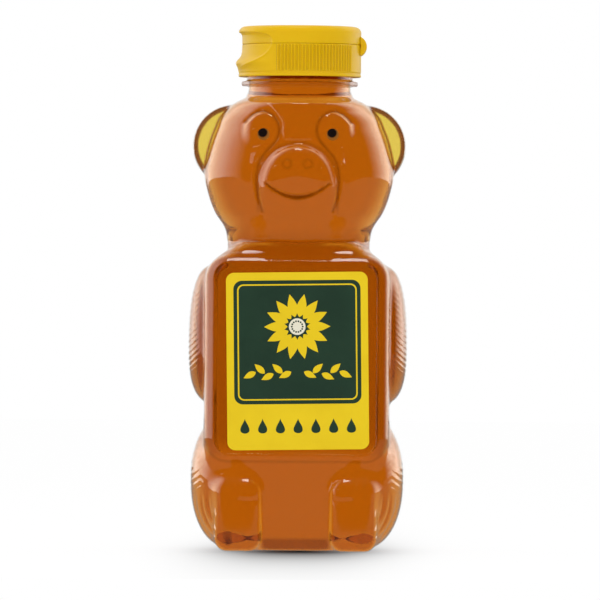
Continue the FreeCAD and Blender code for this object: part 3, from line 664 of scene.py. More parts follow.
def face_relief(x, z):
    """Mouth, the ridge along the brow's fold and the nose bridge."""
    distance, side = from_line(smooth_line(BROW_LINE), x, z)
    height = mouth_relief(x, z) + line(distance * side, *BROW_RIDGE)
    half = BRIDGE_HALF_WIDTH + FLARE_SLOPE * (np.clip(z, *FLARE_LEVELS) - FLARE_LEVELS[0]) ** FLARE_POWER
    return height + BRIDGE_HEIGHT * window(x, -half, half, BRIDGE_FADE) * window(z, *BRIDGE_SPAN)


def patch(x, z, span, levels):
    """1 in a span from the middle outwards and between two levels, and 0 elsewhere."""
    return window(x, *span) * window(z, *levels)


def fur_relief(x, z):
    """Strokes of fur on the arms and hips."""
    lean = z + ARM_STROKE_LEAN * (x - ARM_STROKE_MIDDLE)
    arm = np.abs(np.sin(math.pi * lean / ARM_STROKE_PITCH)) - 1
    lean = z + HIP_STROKE_LEAN * np.abs(x - HIP_STROKE_MIDDLE)
    hip = np.sin(2 * math.pi * lean / HIP_STROKE_PITCH) - 1
    return ARM_STROKE * arm * patch(x, z, *ARM_PATCH) + HIP_STROKE * hip * patch(x, z, *HIP_PATCH)


def foot_relief(x, y, z):
    """Long folds on the legs, and the toes and pads, all sunk."""
    bend = LEG_FOLD_BEND * (LEG_FOLD_TOP - z) ** 2
    folds = sum(line(x + bend, place, *LEG_FOLD) for place in LEG_FOLDS) * patch(x, z, *LEG_PATCH)
    bend = TOE_BEND * (z - TOE_MIDDLE) ** 2
    toes = sum(line(x - bend, place, *TOE_GROOVE) for place in TOES) * window(z, *TOE_LEVELS)
    pad = line(z - PAD_BEND * (x - PAD_MIDDLE) ** 2, *PAD_LINE) * window(x, *PAD_SPAN)
    return -folds - (toes + pad) * window(y, *TOE_FRONT)


def face_share(points, normals):
    """1 on the front of the head and 0 elsewhere."""
    return window(-normals[:, 1], *FACE_TURN) * window(points[:, 2], *FACE_SPAN)


def relief(points, normals):
    x, y, z = mirrored(points).T
    height = (face_relief(x, z) - face_grooves(x, z)) * face_share(points, normals)
    limbs = fur_relief(x, z) + foot_relief(x, y, z)
    return height + limbs * window(z, *LIMB_SPAN)


# Meshes from fields

BLOCK = 8
BLOCK_REACH = 1.25
BLOCKS_AT_ONCE = 64
LEAST_STEEPNESS = 0.05
CORNERS = np.array([(i, j, k) for i in (0, 1) for j in (0, 1) for k in (0, 1)])
CELL_EDGES = [
    (a, b)
    for a in range(8)
    for b in range(a + 1, 8)
    if np.abs(CORNERS[a] - CORNERS[b]).sum() == 1
]


def sample(field, low, high, step):
    """Values of a field on a grid, worked out in full only in blocks near its surface."""
    blocks = np.ceil((high - low) / (step * BLOCK)).astype(int)
    spots = np.indices(tuple(blocks)).reshape(3, -1).T
    rough = field(low + (spots * BLOCK + (BLOCK - 1) / 2) * step)
    values = rough.reshape(tuple(blocks)).astype(np.float32)
    for axis in range(3):
        values = np.repeat(values, BLOCK, axis=axis)
    near = spots[np.abs(rough) < step * BLOCK * BLOCK_REACH]
    offsets = np.indices((BLOCK, BLOCK, BLOCK)).reshape(3, -1).T
    for group in np.array_split(near, max(1, len(near) // BLOCKS_AT_ONCE)):
        index = (group[:, None, :] * BLOCK + offsets).reshape(-1, 3)
        values[tuple(index.T)] = field(low + index * step)
    return values


def settle(field, points, rounds=2, reach=0.05):
    """Move points onto a field's surface; return them with their outward normals."""
    corners = np.array([(1, 1, 1), (1, -1, -1), (-1, 1, -1), (-1, -1, 1)], float)
    for _ in range(rounds + 1):
        values = [field(points + corner * reach) for corner in corners]
        slope = sum(value[:, None] * corner for value, corner in zip(values, corners)) / (4 * reach)
        steepness = np.maximum((slope**2).sum(axis=1, keepdims=True), LEAST_STEEPNESS)
        normals = slope / np.sqrt(steepness)
        points = points - np.clip(np.mean(values, axis=0)[:, None] / steepness, -1, 1) * slope
    return points, normals


def outward_quads(full, index):
    """A quad across each grid edge that leaves the form, from the numbered points of the cells round it."""
    quads = []
    for axis in range(3):
        along, u, v = np.roll(np.eye(3, dtype=int), -axis, axis=0)
        lower = full[tuple(slice(0, n - a) for n, a in zip(full.shape, along))]
        upper = full[tuple(slice(a, None) for a in along)]
        edges = np.argwhere(lower != upper)
        outward = lower[tuple(edges.T)]
        quad = np.stack([index[tuple((edges - offset).T)] for offset in (0 * u, u, u + v, v)], axis=1)
        quad[~outward] = quad[~outward][:, ::-1]
        quads.append(quad)
    return np.concatenate(quads)


def surface(field, low, high, step):
    """Vertices, normals and outward quads on a field's zero level."""
    values = sample(field, low, high, step)
    full = values < 0
    cells = tuple(size - 1 for size in full.shape)

    def corner_view(array, corner):
        return array[tuple(slice(c, c + n) for c, n in zip(corner, cells))]

    count = sum(corner_view(full, corner).astype(np.int8) for corner in CORNERS)
    active = (count > 0) & (count < 8)
    spots = np.argwhere(active)
    index = np.full(active.shape, -1, np.int64)
    index[active] = np.arange(len(spots))
    corner_values = [corner_view(values, corner)[active] for corner in CORNERS]
    total = np.zeros((len(spots), 3))
    hits = np.zeros((len(spots), 1))
    for a, b in CELL_EDGES:
        crosses = (corner_values[a] < 0) != (corner_values[b] < 0)
        share = corner_values[a][crosses] / (corner_values[a][crosses] - corner_values[b][crosses])
        total[crosses] += CORNERS[a] + share[:, None] * (CORNERS[b] - CORNERS[a])
        hits[crosses] += 1
    points, normals = settle(field, low + (spots + total / hits) * step)
    return points, normals, outward_quads(full, index)


def add_object(name, data):
    made = bpy.data.objects.new(name, data)
    bpy.context.scene.collection.objects.link(made)
    return made


def mesh_object(name, points, faces, smooth=True, unit=MM):
    """Blender object from points in millimetres, or in another unit."""
    mesh = bpy.data.meshes.new(name)
    mesh.from_pydata((np.array(points) * unit).tolist(), [], faces)
    mesh.polygons.foreach_set("use_smooth", [smooth] * len(mesh.polygons))
    mesh.update()
    return add_object(name, mesh)


FIELD_LOW = np.array((-40.0, -33.0, -2.0))
FIELD_HIGH = np.array((40.0, 33.0, 178.0))


def formed(field, step):
    """Surface of a field with the fine relief added."""
    points, normals, quads = surface(field, FIELD_LOW, FIELD_HIGH, step)
    return points + relief(points, normals)[:, None] * normals, normals, quads


# Materials

TINT = "tint"
WHITE = (1, 1, 1, 1)
NOISE_DETAIL = 4.0
TONE_SPAN = (0.35, 0.65)
BUMP_DEPTH = 0.0002
ROUGHNESS_SPREAD = 0.15
WALL_ROUGHNESS = 0.05
WALL_IOR = 1.6
MOST_MIRROR = 0.4
EDGE_FACING = (0.30, 0.72)
EDGE_GLOW_GAIN = (1.9, 4.3, 29.0, 1)
HONEY_HUE = (0.93, 0.72, 0.30, 1)
HONEY_DENSITY = 12.0
CAP_TONES = ((0.80, 0.485, 0.001), (0.84, 0.515, 0.003))


def feed(tree, socket, value):
    """Link an input to a node's first output or to a given output, or set its value."""
    if isinstance(value, bpy.types.Node):
        value = value.outputs[0]
    if isinstance(value, bpy.types.NodeSocket):
        tree.links.new(value, socket)
    else:
        socket.default_value = value


def feed_all(tree, target, sockets):
    """Feed a node's inputs by their names, with underscores for spaces."""
    for name, value in sockets.items():
        feed(tree, target.inputs[name.replace("_", " ")], value)


def add_node(tree, kind, **sockets):
    made = tree.nodes.new(f"ShaderNode{kind}")
    feed_all(tree, made, sockets)
    return made


def material(name, **sockets):
    """Material with one Principled shader; returns it with its node tree and that shader."""
    made = bpy.data.materials.new(name)
    made.use_nodes = True
    tree = made.node_tree
    shader = tree.nodes["Principled BSDF"]
    feed_all(tree, shader, sockets)
    return made, tree, shader


def bare_material(name):
    """Material without its Principled shader; returns it with its node tree."""
    made, tree, shader = material(name)
    tree.nodes.remove(shader)
    return made, tree


def show(tree, shader):
    """Let a shader be the material's surface."""
    feed(tree, tree.nodes["Material Output"].inputs["Surface"], shader)


def painted(tree):
    """Colours that paint() gave to the piece's vertices."""
    made = add_node(tree, "VertexColor")
    made.layer_name = TINT
    return made


def calculate(tree, operation, *values):
    made = add_node(tree, "Math")
    made.operation = operation
    for socket, value in zip(made.inputs, values):
        feed(tree, socket, value)
    return made


def multiply(tree, first, second, share=1.0, clamp=False):
    """Colour multiplied by another, as far as the share says."""
    made = add_node(tree, "Mix")
    made.data_type = "RGBA"
    made.blend_type = "MULTIPLY"
    made.clamp_result = clamp
    feed_all(tree, made, {"Factor": share, "A": first, "B": second})
    return made.outputs["Result"]


def mix_shaders(tree, share, first, second):
    made = add_node(tree, "MixShader", Fac=share)
    feed(tree, made.inputs[1], first)
    feed(tree, made.inputs[2], second)
    return made


def noise(tree, scale):
    """Noise in the piece's own coordinates, in metres."""
    place = add_node(tree, "TexCoord").outputs["Object"]
    return add_node(tree, "TexNoise", Vector=place, Scale=scale, Detail=NOISE_DETAIL)


def tones(tree, dark, light, scale):
    """Colour that drifts between two near tones."""
    ramp = add_node(tree, "ValToRGB", Fac=noise(tree, scale))
    for element, position, tone in zip(ramp.color_ramp.elements, TONE_SPAN, (dark, light)):
        element.position = position
        element.color = (*tone, 1)
    return ramp


def uneven(tree, shader, low, high, scale, bump_scale, strength):
    """Roughness that drifts between two values, and a fine bump."""
    rough = add_node(tree, "MapRange", Value=noise(tree, scale), To_Min=low, To_Max=high)
    bump = add_node(tree, "Bump", Height=noise(tree, bump_scale), Strength=strength, Distance=BUMP_DEPTH)
    feed_all(tree, shader, {"Roughness": rough, "Normal": bump})


def clear_plastic():
    """Thin clear wall: it shows what is behind it unbent, and mirrors the studio by its angle."""
    made, tree = bare_material("clear_bottle_plastic")
    through = add_node(tree, "BsdfTransparent", Color=painted(tree))
    gloss = add_node(tree, "BsdfGlossy", Roughness=WALL_ROUGHNESS)
    front = calculate(tree, "SUBTRACT", 1.0, add_node(tree, "NewGeometry").outputs["Backfacing"])
    mirror = calculate(tree, "MINIMUM", add_node(tree, "Fresnel", IOR=WALL_IOR), MOST_MIRROR)
    show(tree, mix_shaders(tree, calculate(tree, "MULTIPLY", front, mirror), through, gloss))
    return made


def inner_wall():
    """Inner face of the wall, wetted by the honey, so that it hardly shows."""
    made, tree = bare_material("wetted_wall")
    show(tree, add_node(tree, "BsdfTransparent", Color=WHITE))
    return made


def amber_honey():
    """Clear amber mass with a slight haze; painted light makes it paler towards its outline, where less of
    it is seen through.
    """
    made, tree, shader = material(
        "amber_honey",
        Roughness=0.02,
        IOR=1.22,
        Specular_IOR_Level=0.0,
        Transmission_Weight=0.94,
    )
    # Painted light: the colour grows paler towards the outline
    slant = add_node(tree, "LayerWeight").outputs["Facing"]
    edge = add_node(tree, "MapRange", Value=slant, From_Min=EDGE_FACING[0], From_Max=EDGE_FACING[1])
    edge.interpolation_type = "SMOOTHSTEP"
    feed_all(tree, shader, {"Base Color": multiply(tree, painted(tree), EDGE_GLOW_GAIN, edge, clamp=True)})
    depth = add_node(tree, "VolumeAbsorption", Color=HONEY_HUE, Density=HONEY_DENSITY)
    feed(tree, tree.nodes["Material Output"].inputs["Volume"], depth)
    return made


def cap_plastic():
    made, tree, shader = material(
        "yellow_cap_plastic",
        IOR=1.49,
        Specular_IOR_Level=0.2,
        Subsurface_Weight=0.25,
        Subsurface_Radius=(1.0, 0.7, 0.1),
        Subsurface_Scale=0.002,
    )
    feed_all(tree, shader, {"Base Color": multiply(tree, tones(tree, *CAP_TONES, scale=60), painted(tree))})
    uneven(tree, shader, low=0.30, high=0.42, scale=120, bump_scale=900, strength=0.04)
    return made


def plain_material(name, dark, light, roughness, bump_scale, metallic=0.0, shine=0.5):
    made, tree, shader = material(name, Metallic=metallic, Specular_IOR_Level=shine)
    feed_all(tree, shader, {"Base Color": tones(tree, dark, light, scale=90)})
    low = roughness * (1 - ROUGHNESS_SPREAD)
    high = roughness * (1 + ROUGHNESS_SPREAD)
    uneven(tree, shader, low, high, scale=150, bump_scale=bump_scale, strength=0.2)
    return made


# Bottle and honey

OUTER_STEP = 0.5
INNER_STEP = 1.0
HONEY_STEP = 0.6
CLEAR = (0.985, 0.98, 0.97)
RING_TINT = (0.72, 0.60, 0.54)
RING_FRONT = 0.3
RING_REACH = (NECK_RADIUS + 1.0, FAR, 0.5)
RING_SIDES = (NECK_RADIUS - 1.0, FAR, 2.0)
RING_SPAN = (RING_LEVELS[0] - 0.3, RING_LEVELS[1] + 0.3, 0.4)
# Painted shade along the face's grooves and at the frame's sill
GROOVE_SHADE = (0.38, 0.29, 0.22)
SILL_SHADE_LINE = (-0.3, 0.3, 0.4)
SILL_SHADE_SPAN = (20.0, 42.0, 8.0)
SILL_SHADE_TURN = (0.2, FAR, 0.3)
AMBER = (0.545, 0.142, 0.004)
# Painted light in the honey: brown shade on the ears' rims, a yellow glow of back light in their thin webs,
# and shade behind the panel and at the base's front
EAR_DEPTH = (-FAR, 5.0, 1.0)
EAR_REACH = (-FAR, EAR_RADIUS + 1.0, 1.0)
EAR_RIM_SHADE = (0.24, 0.085, 0.022)
EAR_RIM_SHADE_SPAN = (0.3, FAR, 0.6)
EAR_WEB_GLOW = (0.86, 0.66, 0.11)
EAR_WEB_GLOW_SPAN = (0.5, FAR, 0.6)
EAR_WEB_GLOW_REACH = (-FAR, EAR_RADIUS - 2 * EAR_RIM[0], 0.5)
PANEL_SHADE = (0.40, 0.094, 0.002)
PANEL_SHADE_SPAN = (PANEL_MIDDLE - PANEL_HALF[1] + 2.0, CHIN + 2.0, 8.0)
BASE_SHADE = (0.225, 0.045, 0.001)
BASE_SHADE_SPAN = (0.6, 4.6, 1.6)
BASE_SHADE_FRONT = (12.0, FAR, 4.0)
BASE_SHADE_MIDDLE = (-FAR, FOOT_CENTRE[0] - FOOT_HALF[0], 2.0)


def paint(piece, colours):
    """Give each vertex a colour for the piece's material."""
    layer = piece.data.color_attributes.new(TINT, "FLOAT_COLOR", "POINT")
    layer.data.foreach_set("color", np.column_stack((colours, np.ones(len(colours)))).ravel())


def tinted(colours, tint, share):
    """One colour, or one for each point, with some of it taken over by a tint."""
    return colours + share[:, None] * (np.array(tint) - colours)


def wall_colours(points, normals):
    """Clear, darker in the solid ring under the cap, with painted shade along the face's lines and at the
    frame's sill.
    """
    x, y, z = mirrored(points).T
    ring = window(np.hypot(x, y), *RING_REACH) * window(z, *RING_SPAN)
    ring *= RING_FRONT + (1 - RING_FRONT) * window(x, *RING_SIDES)
    # Painted shade along the face's grooves and along the frame's sill
    depth = face_grooves(x, z) * face_share(points, normals)
    sill_shade = rounded_rectangle(x, z - FRAME_MIDDLE, FRAME_HALF, FRAME_CORNER)
    sill_shade = line(sill_shade, *SILL_SHADE_LINE) * window(z, *SILL_SHADE_SPAN) * window(-normals[:, 1], *SILL_SHADE_TURN)
    colours = tinted(np.array(CLEAR), RING_TINT, ring)
    return tinted(colours, GROOVE_SHADE, np.clip(depth / SMILE_DEPTH + sill_shade, 0, 1))


outer_points, outer_normals, outer_quads = formed(outside, OUTER_STEP)
inner_points, _, inner_quads = formed(hollow, INNER_STEP)
bottle = mesh_object(
    "bottle_shell_clear",
    np.concatenate((outer_points, inner_points)),
    np.concatenate((outer_quads, inner_quads[:, ::-1] + len(outer_points))).tolist(),
)
paint(bottle, np.concatenate((
    wall_colours(outer_points, outer_normals),
    np.tile(CLEAR, (len(inner_points), 1)),
)))
bottle.data.materials.append(clear_plastic())
bottle.data.materials.append(inner_wall())
slots = np.zeros(len(bottle.data.polygons), np.int32)
slots[len(outer_quads):] = 1
bottle.data.polygons.foreach_set("material_index", slots)
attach(bottle, "bottle")
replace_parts(bottle, "bottle_shell")


def honey_colours(points):
    """Amber, with a painted yellow glow of back light in the ears' thin webs, painted brown shade round
    them, and painted shade behind the panel and at the base's front.
    """
    x, y, z = mirrored(points).T
    spread = np.hypot(x - EAR_CENTRE[0], z - EAR_CENTRE[2])
    near = window(np.abs(y - EAR_CENTRE[1]), *EAR_DEPTH) * window(spread, *EAR_REACH)
    off_head = head(points)
    # Painted shade on the ears' thick rims and a painted yellow glow of back light in their thin webs
    rim = window(off_head, *EAR_RIM_SHADE_SPAN) * near
    web = window(spread, *EAR_WEB_GLOW_REACH) * window(off_head, *EAR_WEB_GLOW_SPAN) * near
    # Painted shade behind the panel and in a band at the base's front
    panel = window(z, *PANEL_SHADE_SPAN)
    base = window(z, *BASE_SHADE_SPAN) * window(-y, *BASE_SHADE_FRONT) * window(x, *BASE_SHADE_MIDDLE)
    colours = np.array(AMBER)
    for tint, share in ((PANEL_SHADE, panel), (EAR_RIM_SHADE, rim), (EAR_WEB_GLOW, web), (BASE_SHADE, base)):
        colours = tinted(colours, tint, share)
    return colours


honey_points, _, honey_quads = formed(honey, HONEY_STEP)
fill = mesh_object("honey", honey_points, honey_quads.tolist())
paint(fill, honey_colours(honey_points))
fill.data.materials.append(amber_honey())
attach(fill, "bottle")
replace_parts(fill, "honey_fill")


# Cap, seal and the other carried-over nodes

CAP_STEP = 0.2
RIB_SHADE = 0.16
MARGIN = 1.0
CAP_SPAN = CAP_RADIUS + 2 * MARGIN

yellow = cap_plastic()
foil = plain_material(
    "seal_foil", (0.70, 0.70, 0.70), (0.78, 0.78, 0.77), roughness=0.32, bump_scale=500, metallic=1.0
)
foam = plain_material(
    "liner_foam", (0.80, 0.80, 0.77), (0.86, 0.86, 0.84), roughness=0.75, bump_scale=1500
)


def dress(node, made):
    nodes[node].data.materials.clear()
    nodes[node].data.materials.append(made)


def cap_piece(name, field, node, low, high):
    """Moulded piece of the cap between two corners, in place of its node."""
    points, normals, quads = surface(field, np.array(low), np.array(high), CAP_STEP)
    piece = mesh_object(name, points, quads.tolist())
    piece.data.normals_split_custom_set_from_vertices(normals.tolist())
    wave, place = rib_wave(points)
    paint(piece, (1 - RIB_SHADE * (1 - wave) * place)[:, None] * np.ones(3))
    piece.data.materials.append(yellow)
    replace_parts(piece, node)
    return piece


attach(cap_piece(
    "cap_base_moulded",
    cap_base,
    "cap_base",
    (-CAP_SPAN, -CAP_SPAN, CAP_BOTTOM - MARGIN),
    (CAP_SPAN, CAP_SPAN, SPOUT_TOP + MARGIN),
), "cap")
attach(cap_piece(
    "flip_lid_moulded",
    flip_lid,
    "flip_lid",
    (-CAP_SPAN, -CAP_SPAN, LID_BOTTOM - MARGIN),
    (CAP_SPAN, CAP_SPAN, LID_TOP + MARGIN),
), "lid")
strap = cap_piece(
    "hinge_strap_bowed",
    hinge_strap,
    "hinge_strap",
    (CAP_RADIUS - 3 * MARGIN, -STRAP_HALF_WIDTH - MARGIN, SEAM - STRAP_HEIGHT / 2 - 2 * MARGIN),
    (CAP_RADIUS + STRAP_BULGE + MARGIN, STRAP_HALF_WIDTH + MARGIN, SEAM + STRAP_HEIGHT / 2 + MARGIN),
)
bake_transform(strap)
for name in ("inner_seal", "seal_pull_tab"):
    dress(name, foil)
dress("cap_liner", foam)


# Printed eyes, laid on the bottle's surface, each with a painted crescent of light along its lower right
# edge

EYE_RINGS = 10
EYE_POINTS = 48
EYE_LIFT = 0.05
EYE_DOME = 2.0
EYE_BLACK = (0.010, 0.006, 0.005)
# Painted light: a brown crescent of light through the lower right of each pupil
EYE_CRESCENT_GLOW = (0.30, 0.105, 0.015)
CRESCENT_CENTRE = (-0.25, 0.55)
CRESCENT_SPAN = (1.65, FAR, 0.5)
HALVINGS = 30


def front_surface(x, z):
    """Points on the front of the bottle's surface, with their normals."""
    near = np.full(len(x), FIELD_LOW[1])
    far = np.full(len(x), 0.0)
    for _ in range(HALVINGS):
        middle = (near + far) / 2
        inside = outside(np.column_stack((x, middle, z))) < 0
        far = np.where(inside, middle, far)
        near = np.where(inside, near, middle)
    points, normals = settle(outside, np.column_stack((x, far, z)), rounds=0)
    return points + relief(points, normals)[:, None] * normals, normals


def eye(name, side):
    angles = np.linspace(0, 2 * math.pi, EYE_POINTS, endpoint=False)
    radii = np.linspace(0, PUPIL_RADIUS, EYE_RINGS + 1)[1:]
    spread = np.concatenate(([0], np.repeat(radii, EYE_POINTS)))
    turn = np.concatenate(([0], np.tile(angles, EYE_RINGS)))
    u = spread * np.cos(turn)
    v = spread * np.sin(turn)
    points, normals = front_surface(side * PUPIL_CENTRE[0] + u, PUPIL_CENTRE[1] + v)
    dome = EYE_LIFT * (1 + EYE_DOME * (1 - (spread / PUPIL_RADIUS) ** 2))
    faces = [(0, 1 + i, 1 + (i + 1) % EYE_POINTS) for i in range(EYE_POINTS)]
    for ring in range(EYE_RINGS - 1):
        first = 1 + ring * EYE_POINTS
        for i in range(EYE_POINTS):
            j = (i + 1) % EYE_POINTS
            faces.append((first + i, first + EYE_POINTS + i, first + EYE_POINTS + j, first + j))
    piece = mesh_object(name, points + dome[:, None] * normals, faces)
    # The brown crescent is painted light laid over the black print
    away = np.hypot(u - CRESCENT_CENTRE[0], v - CRESCENT_CENTRE[1])
    crescent = window(away, *CRESCENT_SPAN)
    paint(piece, tinted(np.array(EYE_BLACK), EYE_CRESCENT_GLOW, crescent))
    made, tree, shader = material(f"{name}_ink", Roughness=0.12)
    feed_all(tree, shader, {"Base Color": painted(tree)})
    piece.data.materials.append(made)
    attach(piece, "bottle")
    return piece


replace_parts(eye("left_eye", -1), "left_eye_print")
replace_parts(eye("right_eye", 1), "right_eye_print")


# Label: yellow stock with a printed flower, two sprigs and a row of drops

LABEL_HALF = (24.75, 31.0)
LABEL_CORNER = 2.8
LABEL_MIDDLE = 66.8
LABEL_SHIFT = 0.4
LABEL_TILT = math.radians(0.9)
LABEL_THICKNESS = 0.15
PRINT_STEP = 0.012
INKS = {
    "yellow": ((0.86, 0.60, 0.002), (0.90, 0.64, 0.004)),
    "green": ((0.016, 0.048, 0.026), (0.019, 0.056, 0.030)),
    "cream": ((0.84, 0.80, 0.62), (0.88, 0.84, 0.68)),
}
PRINT_HALF = (22.2, 21.6)
PRINT_MIDDLE = (0, 6.6)
PRINT_CORNER = 3.0
BORDER_OUTER = ((20.9, 20.3), PRINT_MIDDLE, 2.2)
BORDER_INNER = ((20.4, 19.8), PRINT_MIDDLE, 1.8)
FLOWER = (0, 12.0)
PETALS = 14
PETAL_ROOT = 3.4
PETAL = (8.2, 3.4)
HEART_RADIUS = 2.9
SEED_RING = 1.9
SEED_RADIUS = 0.32
SEED_POINTS = 12
SPRIG_LEAVES = 5
SPRIG_START = (2.2, -4.4)
SPRIG_PITCH = 3.1
SPRIG_SAG = 0.16
LEAF = (4.8, 2.2)
LEAF_TILTS = (-0.45, 0.75)
LEAF_POWER = 0.8
DROPS_EACH_SIDE = 3
DROP_PITCH = 6.2
DROP_LEVEL = -22.6
DROP_SIZE = 2.6
DROP_WIDTH = 0.95


def around(middle, radius, angle):
    """Point at an angle on a circle, counterclockwise from the right."""
    return middle[0] + radius * math.cos(angle), middle[1] + radius * math.sin(angle)


def rectangle(half, middle, corner, points=8):
    """Outline of a rectangle with round corners, counterclockwise."""
    outline = []
    for quarter, (across, up) in enumerate(((1, 1), (-1, 1), (-1, -1), (1, -1))):
        centre = (middle[0] + across * (half[0] - corner), middle[1] + up * (half[1] - corner))
        for step in range(points + 1):
            outline.append(around(centre, corner, (quarter + step / points) * math.pi / 2))
    return outline


def circle(middle, radius, points=48):
    return [around(middle, radius, 2 * math.pi * i / points) for i in range(points)]


def leaf(root, angle, length, width, points=16):
    """Pointed leaf or petal from a root, turned counterclockwise from the right."""
    sides = []
    for step in range(points + 1):
        share = step / points
        sides.append((length * share, width / 2 * math.sin(math.pi * share**LEAF_POWER)))
    outline = [(a, -b) for a, b in sides] + [(a, b) for a, b in reversed(sides[1:-1])]
    cos, sin = math.cos(angle), math.sin(angle)
    return [(root[0] + a * cos - b * sin, root[1] + a * sin + b * cos) for a, b in outline]


def drop(middle, size, points=32):
    """Honey drop with its tip up."""
    outline = []
    for i in range(points):
        a = 2 * math.pi * i / points - math.pi / 2
        half_width = size * math.cos(a) * (1 - math.sin(a)) / 2 * DROP_WIDTH
        outline.append((middle[0] + half_width, middle[1] + size * math.sin(a)))
    return outline


def ring(outer, inner):
    """Band between two outlines with as many points, as quads."""
    count = len(outer)
    return [
        [inner[i], outer[i], outer[(i + 1) % count], inner[(i + 1) % count]]
        for i in range(count)
    ]


def label_print():
    """Shapes of the print as (outline, ink, layer)."""
    shapes = [(rectangle(PRINT_HALF, PRINT_MIDDLE, PRINT_CORNER), "green", 1)]
    shapes += [(band, "yellow", 2) for band in ring(rectangle(*BORDER_OUTER), rectangle(*BORDER_INNER))]
    for petal in range(PETALS):
        angle = 2 * math.pi * petal / PETALS
        shapes.append((leaf(around(FLOWER, PETAL_ROOT, angle), angle, *PETAL), "yellow", 2 + petal % 2))
        seed = around(FLOWER, SEED_RING, angle)
        shapes.append((circle(seed, SEED_RADIUS, SEED_POINTS), "green", 5))
    shapes.append((circle(FLOWER, HEART_RADIUS), "cream", 4))
    for side in (-1, 1):
        for step in range(SPRIG_LEAVES):
            sag = SPRIG_SAG * (step - SPRIG_LEAVES // 2) ** 2
            root = (side * (SPRIG_START[0] + SPRIG_PITCH * step), SPRIG_START[1] + sag)
            tilt = LEAF_TILTS[step % 2]
            shapes.append((leaf(root, tilt if side > 0 else math.pi - tilt, *LEAF), "yellow", 2))
    for step in range(-DROPS_EACH_SIDE, DROPS_EACH_SIDE + 1):
        shapes.append((drop((step * DROP_PITCH, DROP_LEVEL), DROP_SIZE), "green", 1))
    return shapes


def label_mesh():
    """Points, faces and the number of each face's ink."""
    floor = -PANEL_FLOOR - HONEY_GAP / 3
    front = floor - LABEL_THICKNESS
    points = []
    faces = []
    slots = []

    def add(outline, depth, slot):
        first = len(points)
        for u, v in outline:
            points.append((LABEL_SHIFT + u - v * LABEL_TILT, depth, LABEL_MIDDLE + v + u * LABEL_TILT))
        faces.append(list(range(first, len(points))))
        slots.append(slot)

    edge = rectangle(LABEL_HALF, (0, 0), LABEL_CORNER)
    add(edge, front, 0)
    add(edge[::-1], floor, 0)
    count = len(edge)
    for i in range(count):
        j = (i + 1) % count
        faces.append([j, i, 2 * count - 1 - i, 2 * count - 1 - j])
        slots.append(0)
    for outline, ink, layer in label_print():
        add(outline, front - layer * PRINT_STEP, list(INKS).index(ink))
    return points, faces, slots


def label():
    points, faces, slots = label_mesh()
    piece = mesh_object("front_label_printed", points, faces, smooth=False)
    for ink, (dark, light) in INKS.items():
        made = plain_material(f"label_{ink}", dark, light, roughness=0.42, bump_scale=1200, shine=0.3)
        piece.data.materials.append(made)
    piece.data.polygons.foreach_set("material_index", slots)
    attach(piece, "bottle")
    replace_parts(piece, "front_label")


label()


# Stage, light and camera, in metres

VIEW_WIDTH = 0.2115
VIEW_HEIGHT = 0.0881
CAMERA_DISTANCE = 2.8
CAMERA_AZIMUTH = math.radians(1.1)
CAMERA_SHIFT_X = 0.0006
CAMERA_ROLL = math.radians(0.38)
SENSOR_WIDTH = 36.0
WORLD_LIGHT = 0.75
WORLD_SHOWN = 1.0
FLOOR_COLOUR = (0.93, 0.93, 0.93, 1)
FLOOR_GLOW = 0.9
FLOOR_STRENGTH = 1.02
FLOOR_HALF_WIDTH = 3.0
TABLE_FRONT = 0.3
# Painted shadow of the bottle on the floor
SHADE_HALF_WIDTH = 0.029
SHADE_POWER = 2.6
SHADE_FRONT = 0.031
SHADE_BACK = 0.0
SHADE_DEPTH = 0.092
MIRRORED_FLOOR = 0.24
ROOM_RADIUS = 1.2
ROOM_ANGLES = (-150.0, -135.0, -95.0, -62.0, 88.0, 118.0, 135.0, 150.0)
ROOM_GLOWS = (1.0, 2.2, 2.2, 0.0, 0.0, 2.2, 2.2, 1.0)
ROOM_LEVELS = (-0.5, 1.3, 1.7)
ROOM_ROOF = 0.12
ROOM_STEPS = 96
LAMP_AIM = (0, 0, 0.1)


def bent_rays(tree, rays):
    """1 for the rays that mirrors and clear pieces turn."""
    return calculate(tree, "MAXIMUM", rays["Is Glossy Ray"], rays["Is Transmission Ray"])


def make_world():
    """Plain white; the rays that are seen find it brighter than those that light things."""
    world = bpy.data.worlds.new("studio")
    bpy.context.scene.world = world
    world.use_nodes = True
    tree = world.node_tree
    light = tree.nodes["Background"]
    feed_all(tree, light, {"Color": WHITE, "Strength": WORLD_LIGHT})
    shown = add_node(tree, "Background", Color=WHITE, Strength=WORLD_SHOWN)
    rays = add_node(tree, "LightPath").outputs
    seen = calculate(tree, "MAXIMUM", rays["Is Camera Ray"], bent_rays(tree, rays))
    feed(tree, tree.nodes["World Output"].inputs["Surface"], mix_shaders(tree, seen, light, shown))


def painted_floor_shadow(tree):
    """Painted shadow of the bottle: 1 under the bottle, dying away in front of it, behind it and towards
    its sides.
    """
    place = add_node(tree, "NewGeometry").outputs["Position"]
    x, y, _ = add_node(tree, "SeparateXYZ", Vector=place).outputs
    across = calculate(tree, "DIVIDE", calculate(tree, "ABSOLUTE", x), SHADE_HALF_WIDTH)
    across = calculate(tree, "POWER", across, SHADE_POWER)
    ahead = calculate(tree, "ADD", y, SHADE_FRONT)
    behind = calculate(tree, "SUBTRACT", SHADE_BACK, y)
    along = calculate(tree, "MINIMUM", calculate(tree, "MINIMUM", ahead, behind), 0.0)
    along = calculate(tree, "DIVIDE", along, SHADE_DEPTH)
    return calculate(tree, "EXPONENT", calculate(tree, "SUBTRACT", along, across))


